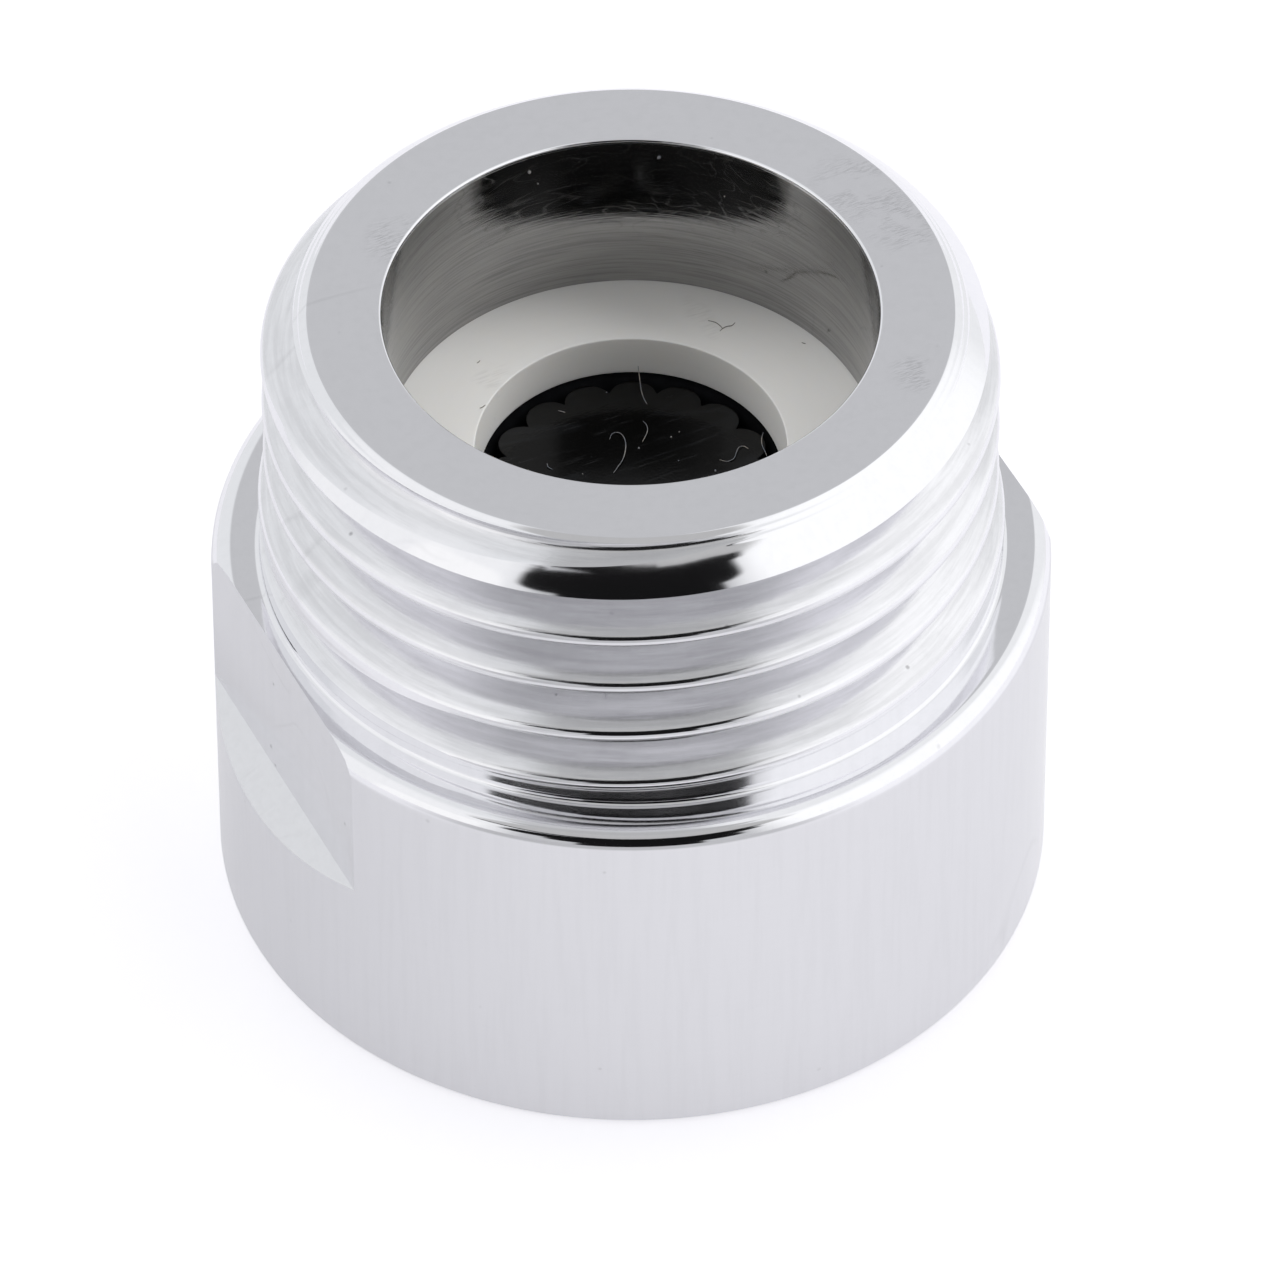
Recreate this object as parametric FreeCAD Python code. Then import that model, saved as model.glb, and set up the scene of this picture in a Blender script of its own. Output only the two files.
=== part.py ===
import FreeCAD, Part
import math
import os

from FreeCAD import Vector

# Shower flow regulator, in millimetres.
# The origin is the middle of the base face, and +Z points at the outlet nipple.
# Water comes in at the threaded socket below and leaves through the nipple above.
# The two spanner flats face +X and -X.

# Parallel pipe thread of half an inch, on the nipple and in the socket. Both are plain
# cylinders here, at the crests of their threads.
thread_major_diameter = 20.955
thread_depth = 1.162
thread_allowance = 0.0475

# Collar, the wide lower part with the spanner flats
collar_height = 11.65
shoulder_width = 1.57
shoulder_edge_width = 0.5
shoulder_edge_height = 0.3
base_edge = 0.3
flat_depth = 1.0
flat_height = 5.05
flat_ledge_angle = 30.0

# Nipple, the upper part, with a conical nose
nipple_length = 9.0
nipple_wall = 3.43
nipple_root_bevel = 0.45
nose_width = 1.31
nose_length = 1.35
outlet_edge = 0.08

# Socket, the hole below, with a wider relief at its end for the washer
socket_depth = 8.2
socket_lead_in = 1.2
relief_height = 2.0
relief_depth = 0.35

# Fitting gaps
cartridge_gap = 0.05
soft_gap = 0.02
washer_gap = 0.11

# Regulator housing, a moulded sleeve with a lip at its outlet end
seat_ledge = 0.6
housing_length = 6.9
housing_wall = 1.91
lip_thickness = 1.13
lip_crown = 0.2
lip_crown_margin = 0.1
lip_hole_draft = 0.09
lip_hole_edge = 0.12
seal_groove_depth = 0.8
seal_groove_width = 1.3
seal_groove_height = 3.0
snap_groove_depth = 0.25
filter_recess_depth = 0.8
filter_ledge = 0.6
filter_room = 0.6

# Soft rings of square section, in the housing's groove and round the core
seal_side_gap = 0.1
regulating_ring_section = 1.4

# Regulator core, a fluted spindle on a notched flange
outlet_gap = 0.11
core_recess = 0.09
flute_pitch = 1.55
flute_depth = 0.3
lobe_fullness = 0.907
flange_thickness = 0.8
inlet_notch_width = 2.6
inlet_notch_count = 6
core_wall = 1.1
core_edge = 0.08

# Inlet filter, a disc with a thicker rim and six-sided holes
filter_rim_width = 0.85
filter_plate_thickness = 0.4
filter_hole_width = 1.0
filter_web = 0.35

# Inlet washer, a flat soft ring
washer_thickness = 1.6
washer_grip = 0.5

# Radii and heights of the body that follow from the sizes above
top_height = collar_height + nipple_length
major_radius = thread_major_diameter / 2
minor_radius = major_radius - thread_depth
crest_radius = major_radius - thread_allowance
socket_radius = minor_radius + thread_allowance
collar_radius = crest_radius + shoulder_width
flat_distance = collar_radius - flat_depth
relief_radius = socket_radius + relief_depth
relief_bottom = socket_depth - relief_height
outlet_radius = crest_radius - nipple_wall
cartridge_bore_radius = outlet_radius + seat_ledge
seat_height = socket_depth + housing_length

# Radii and heights inside the cartridge
housing_radius = cartridge_bore_radius - cartridge_gap
chamber_radius = housing_radius - housing_wall
chamber_top = seat_height - lip_thickness
snap_groove_radius = chamber_radius + snap_groove_depth
filter_recess_radius = chamber_radius + filter_ledge
filter_recess_top = socket_depth + filter_recess_depth
snap_groove_bottom = filter_recess_top + filter_room
snap_groove_top = snap_groove_bottom + flange_thickness
seal_groove_bottom = socket_depth + seal_groove_height
seal_groove_top = seal_groove_bottom + seal_groove_width
seal_groove_radius = housing_radius - seal_groove_depth
filter_radius = filter_recess_radius - cartridge_gap
core_radius = chamber_radius - regulating_ring_section - 2 * soft_gap
core_top = chamber_top - core_recess
lip_hole_radius = core_radius + outlet_gap


def at(radius, height):
    """A point of a half section, in the plane of X and Z."""
    return Vector(radius, 0, height)


def closed_wire(*corners):
    """A closed wire of straight lines."""
    return Part.makePolygon([*corners, corners[0]])


def turned(*corners):
    """A solid turned about Z from the corners of its half section."""
    face = Part.Face(closed_wire(*corners))
    return face.revolve(Vector(0, 0, 0), Vector(0, 0, 1), 360)


def body_blank():
    """The turned body, before its spanner flats are milled."""
    return turned(
        at(socket_radius + socket_lead_in, 0),
        at(collar_radius - base_edge, 0),
        at(collar_radius, base_edge),
        at(collar_radius, collar_height - shoulder_edge_height),
        at(collar_radius - shoulder_edge_width, collar_height),
        at(crest_radius + nipple_root_bevel, collar_height),
        at(crest_radius, collar_height + nipple_root_bevel),
        at(crest_radius, top_height - nose_length),
        at(crest_radius - nose_width, top_height),
        at(outlet_radius + outlet_edge, top_height),
        at(outlet_radius, top_height - outlet_edge),
        at(outlet_radius, seat_height),
        at(cartridge_bore_radius, seat_height),
        at(cartridge_bore_radius, socket_depth),
        at(relief_radius, socket_depth),
        at(relief_radius, relief_bottom),
        at(socket_radius, relief_bottom),
        at(socket_radius, socket_lead_in),
    )


def flat_cutter():
    """The bar of metal that the mill takes off at +X, with its sloping ledge."""
    beyond = flat_depth + shoulder_width
    ledge_height = collar_height - flat_height
    ledge_drop = beyond * math.tan(math.radians(flat_ledge_angle))
    above = collar_height + shoulder_edge_height
    outline = closed_wire(
        at(flat_distance, ledge_height),
        at(flat_distance + beyond, ledge_height - ledge_drop),
        at(flat_distance + beyond, above),
        at(flat_distance, above),
    )
    bar = Part.Face(outline).extrude(Vector(0, 2 * collar_radius, 0))
    bar.translate(Vector(0, -collar_radius, 0))
    return bar


def make_body():
    right = flat_cutter()
    left = right.mirror(Vector(0, 0, 0), Vector(1, 0, 0))
    return body_blank().cut([right, left])


def make_housing():
    hole_top_radius = lip_hole_radius + lip_hole_draft
    lip_top = seat_height + lip_crown
    return turned(
        at(filter_recess_radius, socket_depth),
        at(housing_radius, socket_depth),
        at(housing_radius, seal_groove_bottom),
        at(seal_groove_radius, seal_groove_bottom),
        at(seal_groove_radius, seal_groove_top),
        at(housing_radius, seal_groove_top),
        at(housing_radius, seat_height),
        at(outlet_radius - lip_crown_margin, seat_height),
        at(hole_top_radius + lip_hole_edge, lip_top),
        at(hole_top_radius, lip_top - lip_hole_edge),
        at(lip_hole_radius, chamber_top),
        at(chamber_radius, chamber_top),
        at(chamber_radius, snap_groove_top),
        at(snap_groove_radius, snap_groove_top),
        at(snap_groove_radius, snap_groove_bottom),
        at(chamber_radius, snap_groove_bottom),
        at(chamber_radius, filter_recess_top),
        at(filter_recess_radius, filter_recess_top),
    )


def flat_ring(inner, outer, bottom, top):
    return turned(at(inner, bottom), at(outer, bottom), at(outer, top), at(inner, top))


def make_housing_seal():
    """The ring that closes the gap between the housing and the body's bore."""
    return flat_ring(
        seal_groove_radius + soft_gap,
        cartridge_bore_radius - soft_gap,
        seal_groove_bottom + seal_side_gap,
        seal_groove_top - seal_side_gap,
    )


def make_regulating_ring():
    """The ring round the core, which the water's pressure squeezes into the flutes."""
    return flat_ring(
        core_radius + soft_gap,
        chamber_radius - soft_gap,
        chamber_top - regulating_ring_section,
        chamber_top,
    )


def on_circle(radius, angle):
    return Vector(radius * math.cos(angle), radius * math.sin(angle), 0)


def flute_outline():
    """The core's section: round lobes, each joined to the next by a round flute."""
    count = round(2 * math.pi * core_radius / flute_pitch)
    half = math.pi / count
    lobe = lobe_fullness * core_radius * math.sin(half)
    lobe_centre_radius = core_radius - lobe
    root = core_radius - flute_depth
    reach = lobe_centre_radius * math.cos(half)
    squares = lobe ** 2 - lobe_centre_radius ** 2 - root ** 2 + 2 * root * reach
    flute = squares / (2 * (root - reach - lobe))
    flute_centre_radius = root + flute

    edges = []
    for index in range(count):
        middle = 2 * half * index
        lobe_centre = on_circle(lobe_centre_radius, middle)
        before = on_circle(flute_centre_radius, middle - half)
        after = on_circle(flute_centre_radius, middle + half)
        start = lobe_centre + (before - lobe_centre).normalize() * lobe
        end = lobe_centre + (after - lobe_centre).normalize() * lobe
        edges.append(Part.Arc(start, on_circle(core_radius, middle), end).toShape())
        next_centre = on_circle(lobe_centre_radius, middle + 2 * half)
        next_start = next_centre + (after - next_centre).normalize() * lobe
        edges.append(Part.Arc(end, on_circle(root, middle + half), next_start).toShape())
    return Part.Wire(edges)


def core_flange(bottom, top):
    """The core's lower disc, which snaps into the housing, with notches for the water."""
    radius = snap_groove_radius - cartridge_gap
    disc = turned(
        at(0, bottom),
        at(radius - core_edge, bottom),
        at(radius, bottom + core_edge),
        at(radius, top),
        at(0, top),
    )
    corner = Vector(core_radius + cartridge_gap, -inlet_notch_width / 2, bottom)
    notch = Part.makeBox(radius, inlet_notch_width, flange_thickness, corner)
    notches = []
    for index in range(inlet_notch_count):
        turn = index * 360 / inlet_notch_count
        notches.append(notch.rotated(Vector(0, 0, 0), Vector(0, 0, 1), turn))
    return disc.cut(notches)


def make_core():
    bottom = snap_groove_bottom + cartridge_gap
    flange = core_flange(bottom, snap_groove_top - cartridge_gap)
    spindle = Part.Face(flute_outline()).extrude(Vector(0, 0, core_top - bottom))
    spindle.translate(Vector(0, 0, bottom))
    hollow_radius = core_radius - flute_depth - core_wall
    hollow = Part.makeCylinder(hollow_radius, core_top - core_wall - bottom, Vector(0, 0, bottom))
    return flange.fuse(spindle).cut(hollow).removeSplitter()


def six_sided_hole(x, y):
    """A filter hole, as wide as filter_hole_width between opposite sides."""
    corner_radius = filter_hole_width / math.sqrt(3)
    corners = []
    for index in range(6):
        corner = on_circle(corner_radius, math.radians(30 + 60 * index))
        corners.append(corner + Vector(x, y, socket_depth))
    face = Part.Face(closed_wire(*corners))
    return face.extrude(Vector(0, 0, filter_recess_depth))


def filter_holes(reach):
    """Holes in staggered rows, as far out as they fit within a circle."""
    pitch = filter_hole_width + filter_web
    row_pitch = pitch * math.sqrt(3) / 2
    rows = math.ceil(reach / row_pitch)
    holes = []
    for row in range(-rows, rows + 1):
        y = row * row_pitch
        shift = pitch / 2 * (row % 2)
        for column in range(-rows - 1, rows + 2):
            x = column * pitch + shift
            if math.hypot(x, y) + filter_hole_width / 2 <= reach:
                holes.append(six_sided_hole(x, y))
    return holes


def make_filter():
    plate_radius = filter_radius - filter_rim_width
    plate_bottom = filter_recess_top - filter_plate_thickness
    disc = turned(
        at(0, plate_bottom),
        at(plate_radius, plate_bottom),
        at(plate_radius, socket_depth),
        at(filter_radius, socket_depth),
        at(filter_radius, filter_recess_top),
        at(0, filter_recess_top),
    )
    return disc.cut(filter_holes(plate_radius - filter_web))


def make_washer():
    return flat_ring(
        filter_radius - washer_grip,
        socket_radius - washer_gap,
        socket_depth - washer_thickness,
        socket_depth,
    )


def main():
    os.makedirs("parts", exist_ok=True)
    pieces = {
        "threaded_body": make_body(),
        "regulator_housing": make_housing(),
        "housing_seal_ring": make_housing_seal(),
        "regulator_core": make_core(),
        "regulating_ring": make_regulating_ring(),
        "inlet_filter": make_filter(),
        "inlet_washer": make_washer(),
    }
    for name, shape in pieces.items():
        shape.exportStep(f"parts/{name}.step")
        print(f"{name}: {shape.Volume:.1f} mm3, valid {shape.isValid()}, solids {len(shape.Solids)}")


main()
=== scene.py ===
"""The looks of a shower flow regulator: a chromed fitting with a white and black insert."""

import math
import random

import bmesh
import bpy
from bpy.props import FloatProperty, FloatVectorProperty, IntProperty, PointerProperty
from mathutils import Matrix, Vector


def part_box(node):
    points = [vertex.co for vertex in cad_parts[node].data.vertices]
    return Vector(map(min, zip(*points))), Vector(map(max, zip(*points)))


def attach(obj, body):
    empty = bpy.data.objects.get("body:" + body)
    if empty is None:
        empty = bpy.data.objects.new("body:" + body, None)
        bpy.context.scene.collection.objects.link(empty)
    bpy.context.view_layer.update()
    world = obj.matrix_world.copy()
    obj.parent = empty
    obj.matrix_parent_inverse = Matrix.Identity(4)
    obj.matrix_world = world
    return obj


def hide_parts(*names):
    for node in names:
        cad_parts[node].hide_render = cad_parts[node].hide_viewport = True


bl_info = {
    "name": "Shower flow regulator",
    "version": (1, 0, 0),
    "blender": (4, 5, 0),
    "location": "3D View > Sidebar > Regulator",
    "description": "Makes the threaded body, the insert and the studio of a shower flow regulator",
    "category": "Add Mesh",
}

MM = 0.001

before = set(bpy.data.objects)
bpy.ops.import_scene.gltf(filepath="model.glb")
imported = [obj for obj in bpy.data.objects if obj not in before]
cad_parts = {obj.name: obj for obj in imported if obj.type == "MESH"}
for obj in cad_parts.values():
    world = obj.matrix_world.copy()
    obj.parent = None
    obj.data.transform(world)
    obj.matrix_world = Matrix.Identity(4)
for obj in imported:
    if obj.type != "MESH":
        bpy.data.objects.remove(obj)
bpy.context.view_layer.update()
BODY_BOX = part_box("threaded_body")
HOUSING_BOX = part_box("regulator_housing")
SEAL_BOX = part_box("housing_seal_ring")
CORE_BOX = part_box("regulator_core")
REGULATING_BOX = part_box("regulating_ring")
WASHER_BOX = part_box("inlet_washer")


def length(name, description, default):
    return FloatProperty(
        name=name, description=description, default=default, min=0.0, precision=5, unit="LENGTH"
    )


def factor(name, description, default):
    return FloatProperty(
        name=name, description=description, default=default, min=0.0, max=1.0, subtype="FACTOR"
    )


def power(name, description, default):
    return FloatProperty(name=name, description=description, default=default, unit="POWER")


def angle(name, description, default):
    return FloatProperty(
        name=name, description=description, default=math.radians(default), subtype="ANGLE"
    )


def colour(name, description, default):
    return FloatVectorProperty(
        name=name, description=description, default=default, min=0.0, max=1.0, subtype="COLOR"
    )


class RegulatorBodySizes(bpy.types.PropertyGroup):
    """Sizes of the threaded body."""

    collar_radius: length("Collar radius", "Radius of the wide lower part", BODY_BOX[1].y)
    top: length("Top", "Height of the outlet face", BODY_BOX[1].z)
    shoulder: length("Shoulder", "Height of the shoulder under the nipple", 11.65 * MM)
    shoulder_rounding: length("Shoulder rounding", "Rounding round the shoulder", 0.55 * MM)
    crest_radius: length("Crest radius", "Radius over the crests of the nipple", 10.43 * MM)
    blank_radius: length("Foot radius", "Radius of the nipple's foot", 10.65 * MM)
    blank_top: length("Foot top", "Height at which the foot starts to narrow", 13.2 * MM)
    blank_ease: length("Foot ease", "Height over which the foot narrows to the crests", 1.8 * MM)
    socket_radius: length("Socket radius", "Radius at the socket's crests", 9.363 * MM)
    pitch: length("Thread pitch", "Distance from one turn of the thread to the next", 1.814 * MM)
    flank_angle: angle("Flank angle", "Angle between the two flanks of the thread", 55.0)
    first_crest: length("First crest", "Height of the nipple's first crest at +X", 12.957 * MM)
    run_out: length("Run-out", "Height of the root at which the nipple's groove ends", 12.55 * MM)
    run_out_ease: length("Run-out ease", "Rise over which the groove reaches its depth", 0.6 * MM)
    root_fillet: length("Root fillet", "Fillet at the nipple's foot", 0.14 * MM)
    shank_step: length("Shank step", "Step back of the foot under the lowest crest", 0.05 * MM)
    ridge: length("Ridge", "Height of the fine ridges on the nose", 0.018 * MM)
    nose_width: length("Nose width", "How far the nose narrows", 1.31 * MM)
    nose_length: length("Nose length", "How far the nose reaches down", 1.35 * MM)
    nose_bulge: length("Nose bulge", "How far the nose swells from a straight cone", 0.115 * MM)
    bore_radius: length("Bore radius", "Radius of the outlet bore", 7.0 * MM)
    seat: length("Seat", "Height of the ledge that the housing meets", 15.1 * MM)
    cartridge_radius: length("Insert bore radius", "Radius of the bore round the insert", 7.6 * MM)
    socket_depth: length("Socket depth", "Depth of the socket", WASHER_BOX[1].z)
    relief_bottom: length("Relief height", "Height at which the socket widens", 6.2 * MM)
    relief_radius: length("Relief radius", "Radius of the socket's widened end", 9.713 * MM)
    lead_in: length("Lead-in", "Size of the socket's lead-in bevel", 1.2 * MM)
    flat_distance: length("Flat distance", "Distance of the spanner flats from the axis", 11.0 * MM)
    flat_bottom: length("Flat bottom", "Height of the spanner flats' lower edge", 6.6 * MM)
    ledge_angle: angle("Ledge angle", "Slope of the ledge under each flat", 30.0)
    base_edge: length("Base edge", "Rounding round the base", 0.3 * MM)
    columns: IntProperty(
        name="Columns", description="Columns of faces round the body", default=216, min=24
    )


class RegulatorInsertSizes(bpy.types.PropertyGroup):
    """Sizes of the insert."""

    hole_radius: length("Hole radius", "Radius of the housing's hole at its lower edge", 4.31 * MM)
    hole_draft: length("Hole draft", "How much wider the hole is at its upper edge", 0.09 * MM)
    lip_thickness: length("Lip thickness", "Thickness of the housing's lip", 1.13 * MM)
    lip_crown: length("Lip crown", "Rise of the housing's face towards its hole", 0.14 * MM)
    chamber_radius: length("Chamber radius", "Radius of the room inside the housing", 5.64 * MM)
    core_radius: length("Core radius", "Radius of the core over its lobes", 4.2 * MM)
    flute_depth: length("Flute depth", "Depth of the flutes between the lobes", 0.3 * MM)
    lobe_count: IntProperty(name="Lobes", description="Lobes round the core", default=17, min=3)
    lobe_fullness: factor("Lobe fullness", "Width of a lobe as a share of its room", 0.907)
    core_wall: length("Core wall", "Wall round the core's hollow", 1.1 * MM)
    flange: length("Flange", "Thickness of the core's flange", 0.7 * MM)
    notch_count: IntProperty(name="Notches", description="Notches in the flange", default=6, min=1)
    notch_angle: angle("Notch angle", "Angle that a notch takes up", 29.8)
    face_radius: length("Face radius", "Radius where the face starts to rise", 6.9 * MM)
    seal_groove_low: length("Seal groove low", "Lower side of the seal's groove", 3.0 * MM)
    seal_groove_high: length("Seal groove high", "Upper side of the seal's groove", 4.3 * MM)
    seal_groove: length("Seal groove", "Depth of the seal's groove", 0.8 * MM)
    snap_groove_low: length("Snap groove low", "Lower side of the flange's groove", 1.4 * MM)
    snap_groove_high: length("Snap groove high", "Upper side of the flange's groove", 2.2 * MM)
    snap_groove: length("Snap groove", "Depth of the flange's groove", 0.25 * MM)
    filter_recess: length("Filter recess", "Height of the filter's recess", 0.8 * MM)
    filter_step: length("Filter step", "Widening of the filter's recess", 0.6 * MM)
    washer_hole: length("Washer hole", "Radius of the washer's hole", 5.69 * MM)
    fibre: length("Fibre", "Half the thickness of the fibres on the core", 0.014 * MM)


class RegulatorFinishes(bpy.types.PropertyGroup):
    """Colours and finishes."""

    chrome: colour("Chrome", "Colour of the chromed metal", (0.865, 0.865, 0.888))
    bare: colour("Bare metal", "Colour of the thinly plated inside", (0.41, 0.405, 0.4))
    white: colour("White plastic", "Colour of the housing", (0.87, 0.86, 0.835))
    black: colour("Black plastic", "Colour of the core", (0.0015, 0.0015, 0.0014))
    pale: colour("Pale plastic", "Colour of the filter", (0.72, 0.72, 0.69))
    rubber: colour("Rubber", "Colour of the rings and the washer", (0.007, 0.007, 0.008))
    lint: colour("Lint", "Colour of the fibres", (0.17, 0.185, 0.215))
    grime: colour("Grime", "Colour of specks and rubbed marks", (0.26, 0.24, 0.21))
    # This factor also sets how dark the painted shade on the flats near their crease is.
    wear_and_crease_shade: factor("Wear", "How strongly the machining marks and scratches show", 0.5)
    dust: factor("Dust", "How much dust lies on the insert", 0.4)


class RegulatorStudio(bpy.types.PropertyGroup):
    """Camera, floor and light."""

    azimuth: angle("Azimuth", "Direction of the camera round the part", -25.5)
    elevation: angle("Elevation", "Height of the camera above the horizon", 44.966)
    roll: angle("Roll", "Turn of the camera about its line of sight", 0.121)
    distance: length("Distance", "Distance of the camera from its aim", 377.647 * MM)
    aim_right: length("Aim right", "How far the aim lies to the right of the axis", 0.2444 * MM)
    aim_height: length("Aim height", "Height of the aim above the floor", 7.5466 * MM)
    lens: FloatProperty(name="Lens", description="Focal length", default=369.31, unit="CAMERA")
    floor: colour("Floor", "Colour of the floor", (0.70, 0.695, 0.71))
    room: colour("Room", "Colour of the soft room light", (0.60, 0.605, 0.62))
    left_lamp: power("Left lamp", "Power of the left lamp", 1.1)
    right_lamp: power("Right lamp", "Power of the right lamp", 1.6)
    lamp_height: angle("Lamp height", "Height of the lamps above the horizon", 45.0)
    lamp_distance: length("Lamp distance", "Distance of the lamps from the part", 0.6)
    lamp_size: length("Lamp size", "Width of each lamp", 0.3)
    floor_radius: length("Floor radius", "Radius of the floor", 1.5)
    floor_glow: colour("Floor glow", "Colour of the floor's glow", (0.968, 0.962, 1.0))
    white_glow: factor("White glow", "How much the floor glows where it is seen", 0.55)
    mirror_glow: factor("Mirror glow", "How much the floor glows in a reflection", 0.3)
    far_glow: factor("Far glow", "How much more it glows away from the part", 0.16)


# Soft panels of the room, as the part sees them: azimuth from the camera's side with plus to the
# right, half width, elevation, half height, all in degrees, then how much the panel climbs to the
# right, softness, brightness and tint.
PANELS = (
    ("left panel", -105, 67, 16, 60, 0, 0.05, 0.90, (0.97, 0.985, 1.0)),
    ("left glow", -68, 32, 20, 36, 0, 0.35, 1.02, (0.985, 0.99, 1.0)),
    ("left front strip", -50, 13, 12, 18, 0, 0.15, 1.09, (1.0, 1.0, 1.0)),
    ("right panel", 102, 62, 20, 62, 0, 0.05, 0.97, (0.98, 0.99, 1.0)),
    ("right glow", 80, 40, 24, 30, 0, 0.35, 1.18, (0.99, 0.995, 1.0)),
    ("panel over the camera", 0, 46, 58, 13, 0, 0.12, 0.54, (1.0, 1.0, 1.0)),
    ("zenith card", 0, 64, 78, 9, 0, 0.06, 0.52, (0.98, 0.99, 1.0)),
    ("dark gap", 0.5, 33, 36, 9, 0.12, 0.05, 0.008, (1.0, 1.0, 1.05)),
    ("dark gap's upper edge", -4, 41, 45.3, 1.9, 0, 0.05, 0.008, (1.0, 1.0, 1.05)),
    ("dark gap's middle", 3, 24, 24, 11, 0, 0.05, 0.008, (1.0, 1.0, 1.05)),
    ("dark gap below", 2, 15, -3, 23, 0, 0.05, 0.008, (1.0, 1.0, 1.05)),
)


# A point this far beside each rounding keeps the flat next to it flat.
HOLD = 0.05 * MM
# Largest turn from one point of a rounding to the next.
ROUNDING_STEP = math.radians(12)


def rounded(corners, closed=True):
    """The points of a half section, with each corner (radius, height, rounding) rounded off."""
    points = []
    count = len(corners)
    for index, (radius, height, rounding) in enumerate(corners):
        here = Vector((radius, height))
        is_end = not closed and index in (0, count - 1)
        if rounding == 0 or is_end:
            points.append(here)
            continue
        before = Vector(corners[index - 1][:2])
        after = Vector(corners[(index + 1) % count][:2])
        back = (before - here).normalized()
        ahead = (after - here).normalized()
        half = back.angle(ahead) / 2
        reach = rounding / math.tan(half)
        centre = here + (back + ahead).normalized() * (rounding / math.sin(half))
        if reach + 2 * HOLD < (before - here).length:
            points.append(here + back * (reach + HOLD))
        start = here + back * reach - centre
        sweep = start.angle_signed(here + ahead * reach - centre)
        steps = max(2, math.ceil(abs(sweep) / ROUNDING_STEP))
        for step in range(steps + 1):
            points.append(centre + Matrix.Rotation(-sweep * step / steps, 2) @ start)
        if reach + 2 * HOLD < (after - here).length:
            points.append(here + ahead * (reach + HOLD))
    return points


def divided(points, longest):
    """The same line with no run longer than longest."""
    finer = [points[0]]
    for start, end in zip(points, points[1:]):
        steps = max(1, math.ceil((end - start).length / longest - 1e-6))
        for step in range(1, steps + 1):
            finer.append(start.lerp(end, step / steps))
    return finer


def even_angles(count):
    """Even angles round the axis. The first and the last are the same line."""
    return [2 * math.pi * index / count for index in range(count + 1)]


# Zones of the body with a finish of their own.
MILLED = "milled"
BARE = "bare"

# Rounding and depth of a pipe thread with flanks at 55 degrees, as shares of its pitch.
ROUNDING_SHARE = 0.137329
DEPTH_SHARE = 0.640327
# At the run-out the groove is lifted by this many times its depth, so that it leaves the foot.
RUN_OUT_LIFT = 1.2

# Fine ridges that the tool left on the nose: their depths under its top, and their half width.
NOSE_RIDGES = (0.14 * MM, 0.27 * MM)
RIDGE_WIDTH = 0.032 * MM
# Rows of faces over the nose's upper end.
NOSE_STEPS = 30
# How far under the outlet's face the rim's own line starts.
RIM_HEIGHT = 0.075 * MM

# Rows of faces on the ledge under a flat and on the flat, and the wall's hold under them.
LEDGE_STEPS = 6
FLAT_STEPS = 10
WALL_HOLD = 1.2 * MM
# Longest run of the shoulder's line.
SHOULDER_RUN = 0.08 * MM
# Depth of a cut at which its surface shows the tool's marks in full.
FULL_CUT = 0.08 * MM

# The lowest crest lies at least this far over the shoulder. The foot stands back up to a short
# way under it, steps out over a short rise, and passes to the next crest over the hand-over.
LOWEST_CREST = 0.25 * MM
SHANK_END = 0.2 * MM
SHANK_RISE = 0.12 * MM
CREST_HANDOVER = 0.3 * MM

# The socket's thread: where it starts over the base, how far under the relief it ends, and the
# length over which it fades there.
SOCKET_START = 0.02 * MM
SOCKET_END = 0.25 * MM
SOCKET_FADE = 1.2 * MM


def new_object(name, data):
    """Puts a new object into the scene."""
    made = bpy.data.objects.new(name, data)
    bpy.context.scene.collection.objects.link(made)
    return made


def mesh_of_columns(name, columns, angles, closed=True):
    """A mesh from columns of points (radius, height, is_crease, cut, zone), one for each angle.

    Edges between two crease points stay sharp, and a face is split along such an edge. cut says
    how much a point's surface shows the marks of the cutting tool, from 0 to 1. A face whose
    points all have a zone of their own, such as milled or bare, gets 1 in the layer of that name.
    """
    mesh = bpy.data.meshes.new(name)
    bm = bmesh.new()
    cut_layer = bm.verts.layers.float.new("cut")
    zone_layers = {zone: bm.faces.layers.float.new(zone) for zone in (MILLED, BARE)}
    zones = {}
    creases = set()
    lines = []
    for turn, column in zip(angles, columns):
        cos, sin = math.cos(turn), math.sin(turn)
        line = []
        for radius, height, is_crease, cut, zone in column:
            vert = bm.verts.new((radius * cos, radius * sin, height))
            vert[cut_layer] = cut
            zones[vert] = zone
            line.append(vert)
            if is_crease:
                creases.add(vert)
        lines.append(line)
    rows = len(lines[0])
    for line, following in zip(lines, lines[1:]):
        for row in range(rows if closed else rows - 1):
            below = (row + 1) % rows
            corners = (line[row], line[below], following[below], following[row])
            falls = corners[0] in creases and corners[2] in creases
            climbs = corners[1] in creases and corners[3] in creases
            if falls != climbs:
                a, b, c, d = corners if falls else corners[1:] + corners[:1]
                bm.faces.new((a, b, c))
                bm.faces.new((a, c, d))
            else:
                bm.faces.new(corners)
    for face in bm.faces:
        face.smooth = True
        found = {zones[vert] for vert in face.verts}
        for zone, layer in zone_layers.items():
            face[layer] = 1.0 if found == {zone} else 0.0
    for edge in bm.edges:
        edge.smooth = not (edge.verts[0] in creases and edge.verts[1] in creases)
    bmesh.ops.remove_doubles(bm, verts=bm.verts, dist=1e-7)
    bmesh.ops.dissolve_degenerate(bm, dist=1e-7, edges=bm.edges)
    bmesh.ops.recalc_face_normals(bm, faces=bm.faces)
    bm.to_mesh(mesh)
    bm.free()
    return new_object(name, mesh)


def plain_column(points, cut=0.0, zone=""):
    """A column of smooth points for mesh_of_columns."""
    return [(point[0], point[1], False, cut, zone) for point in points]


def turned_mesh(name, section, count, shape=None):
    """A closed mesh turned about Z. shape gives the section at an angle, where it changes."""
    angles = even_angles(count)
    columns = []
    for turn in angles:
        points = shape(section, turn) if shape else section
        columns.append(plain_column(points))
    return mesh_of_columns(name, columns, angles)


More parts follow.
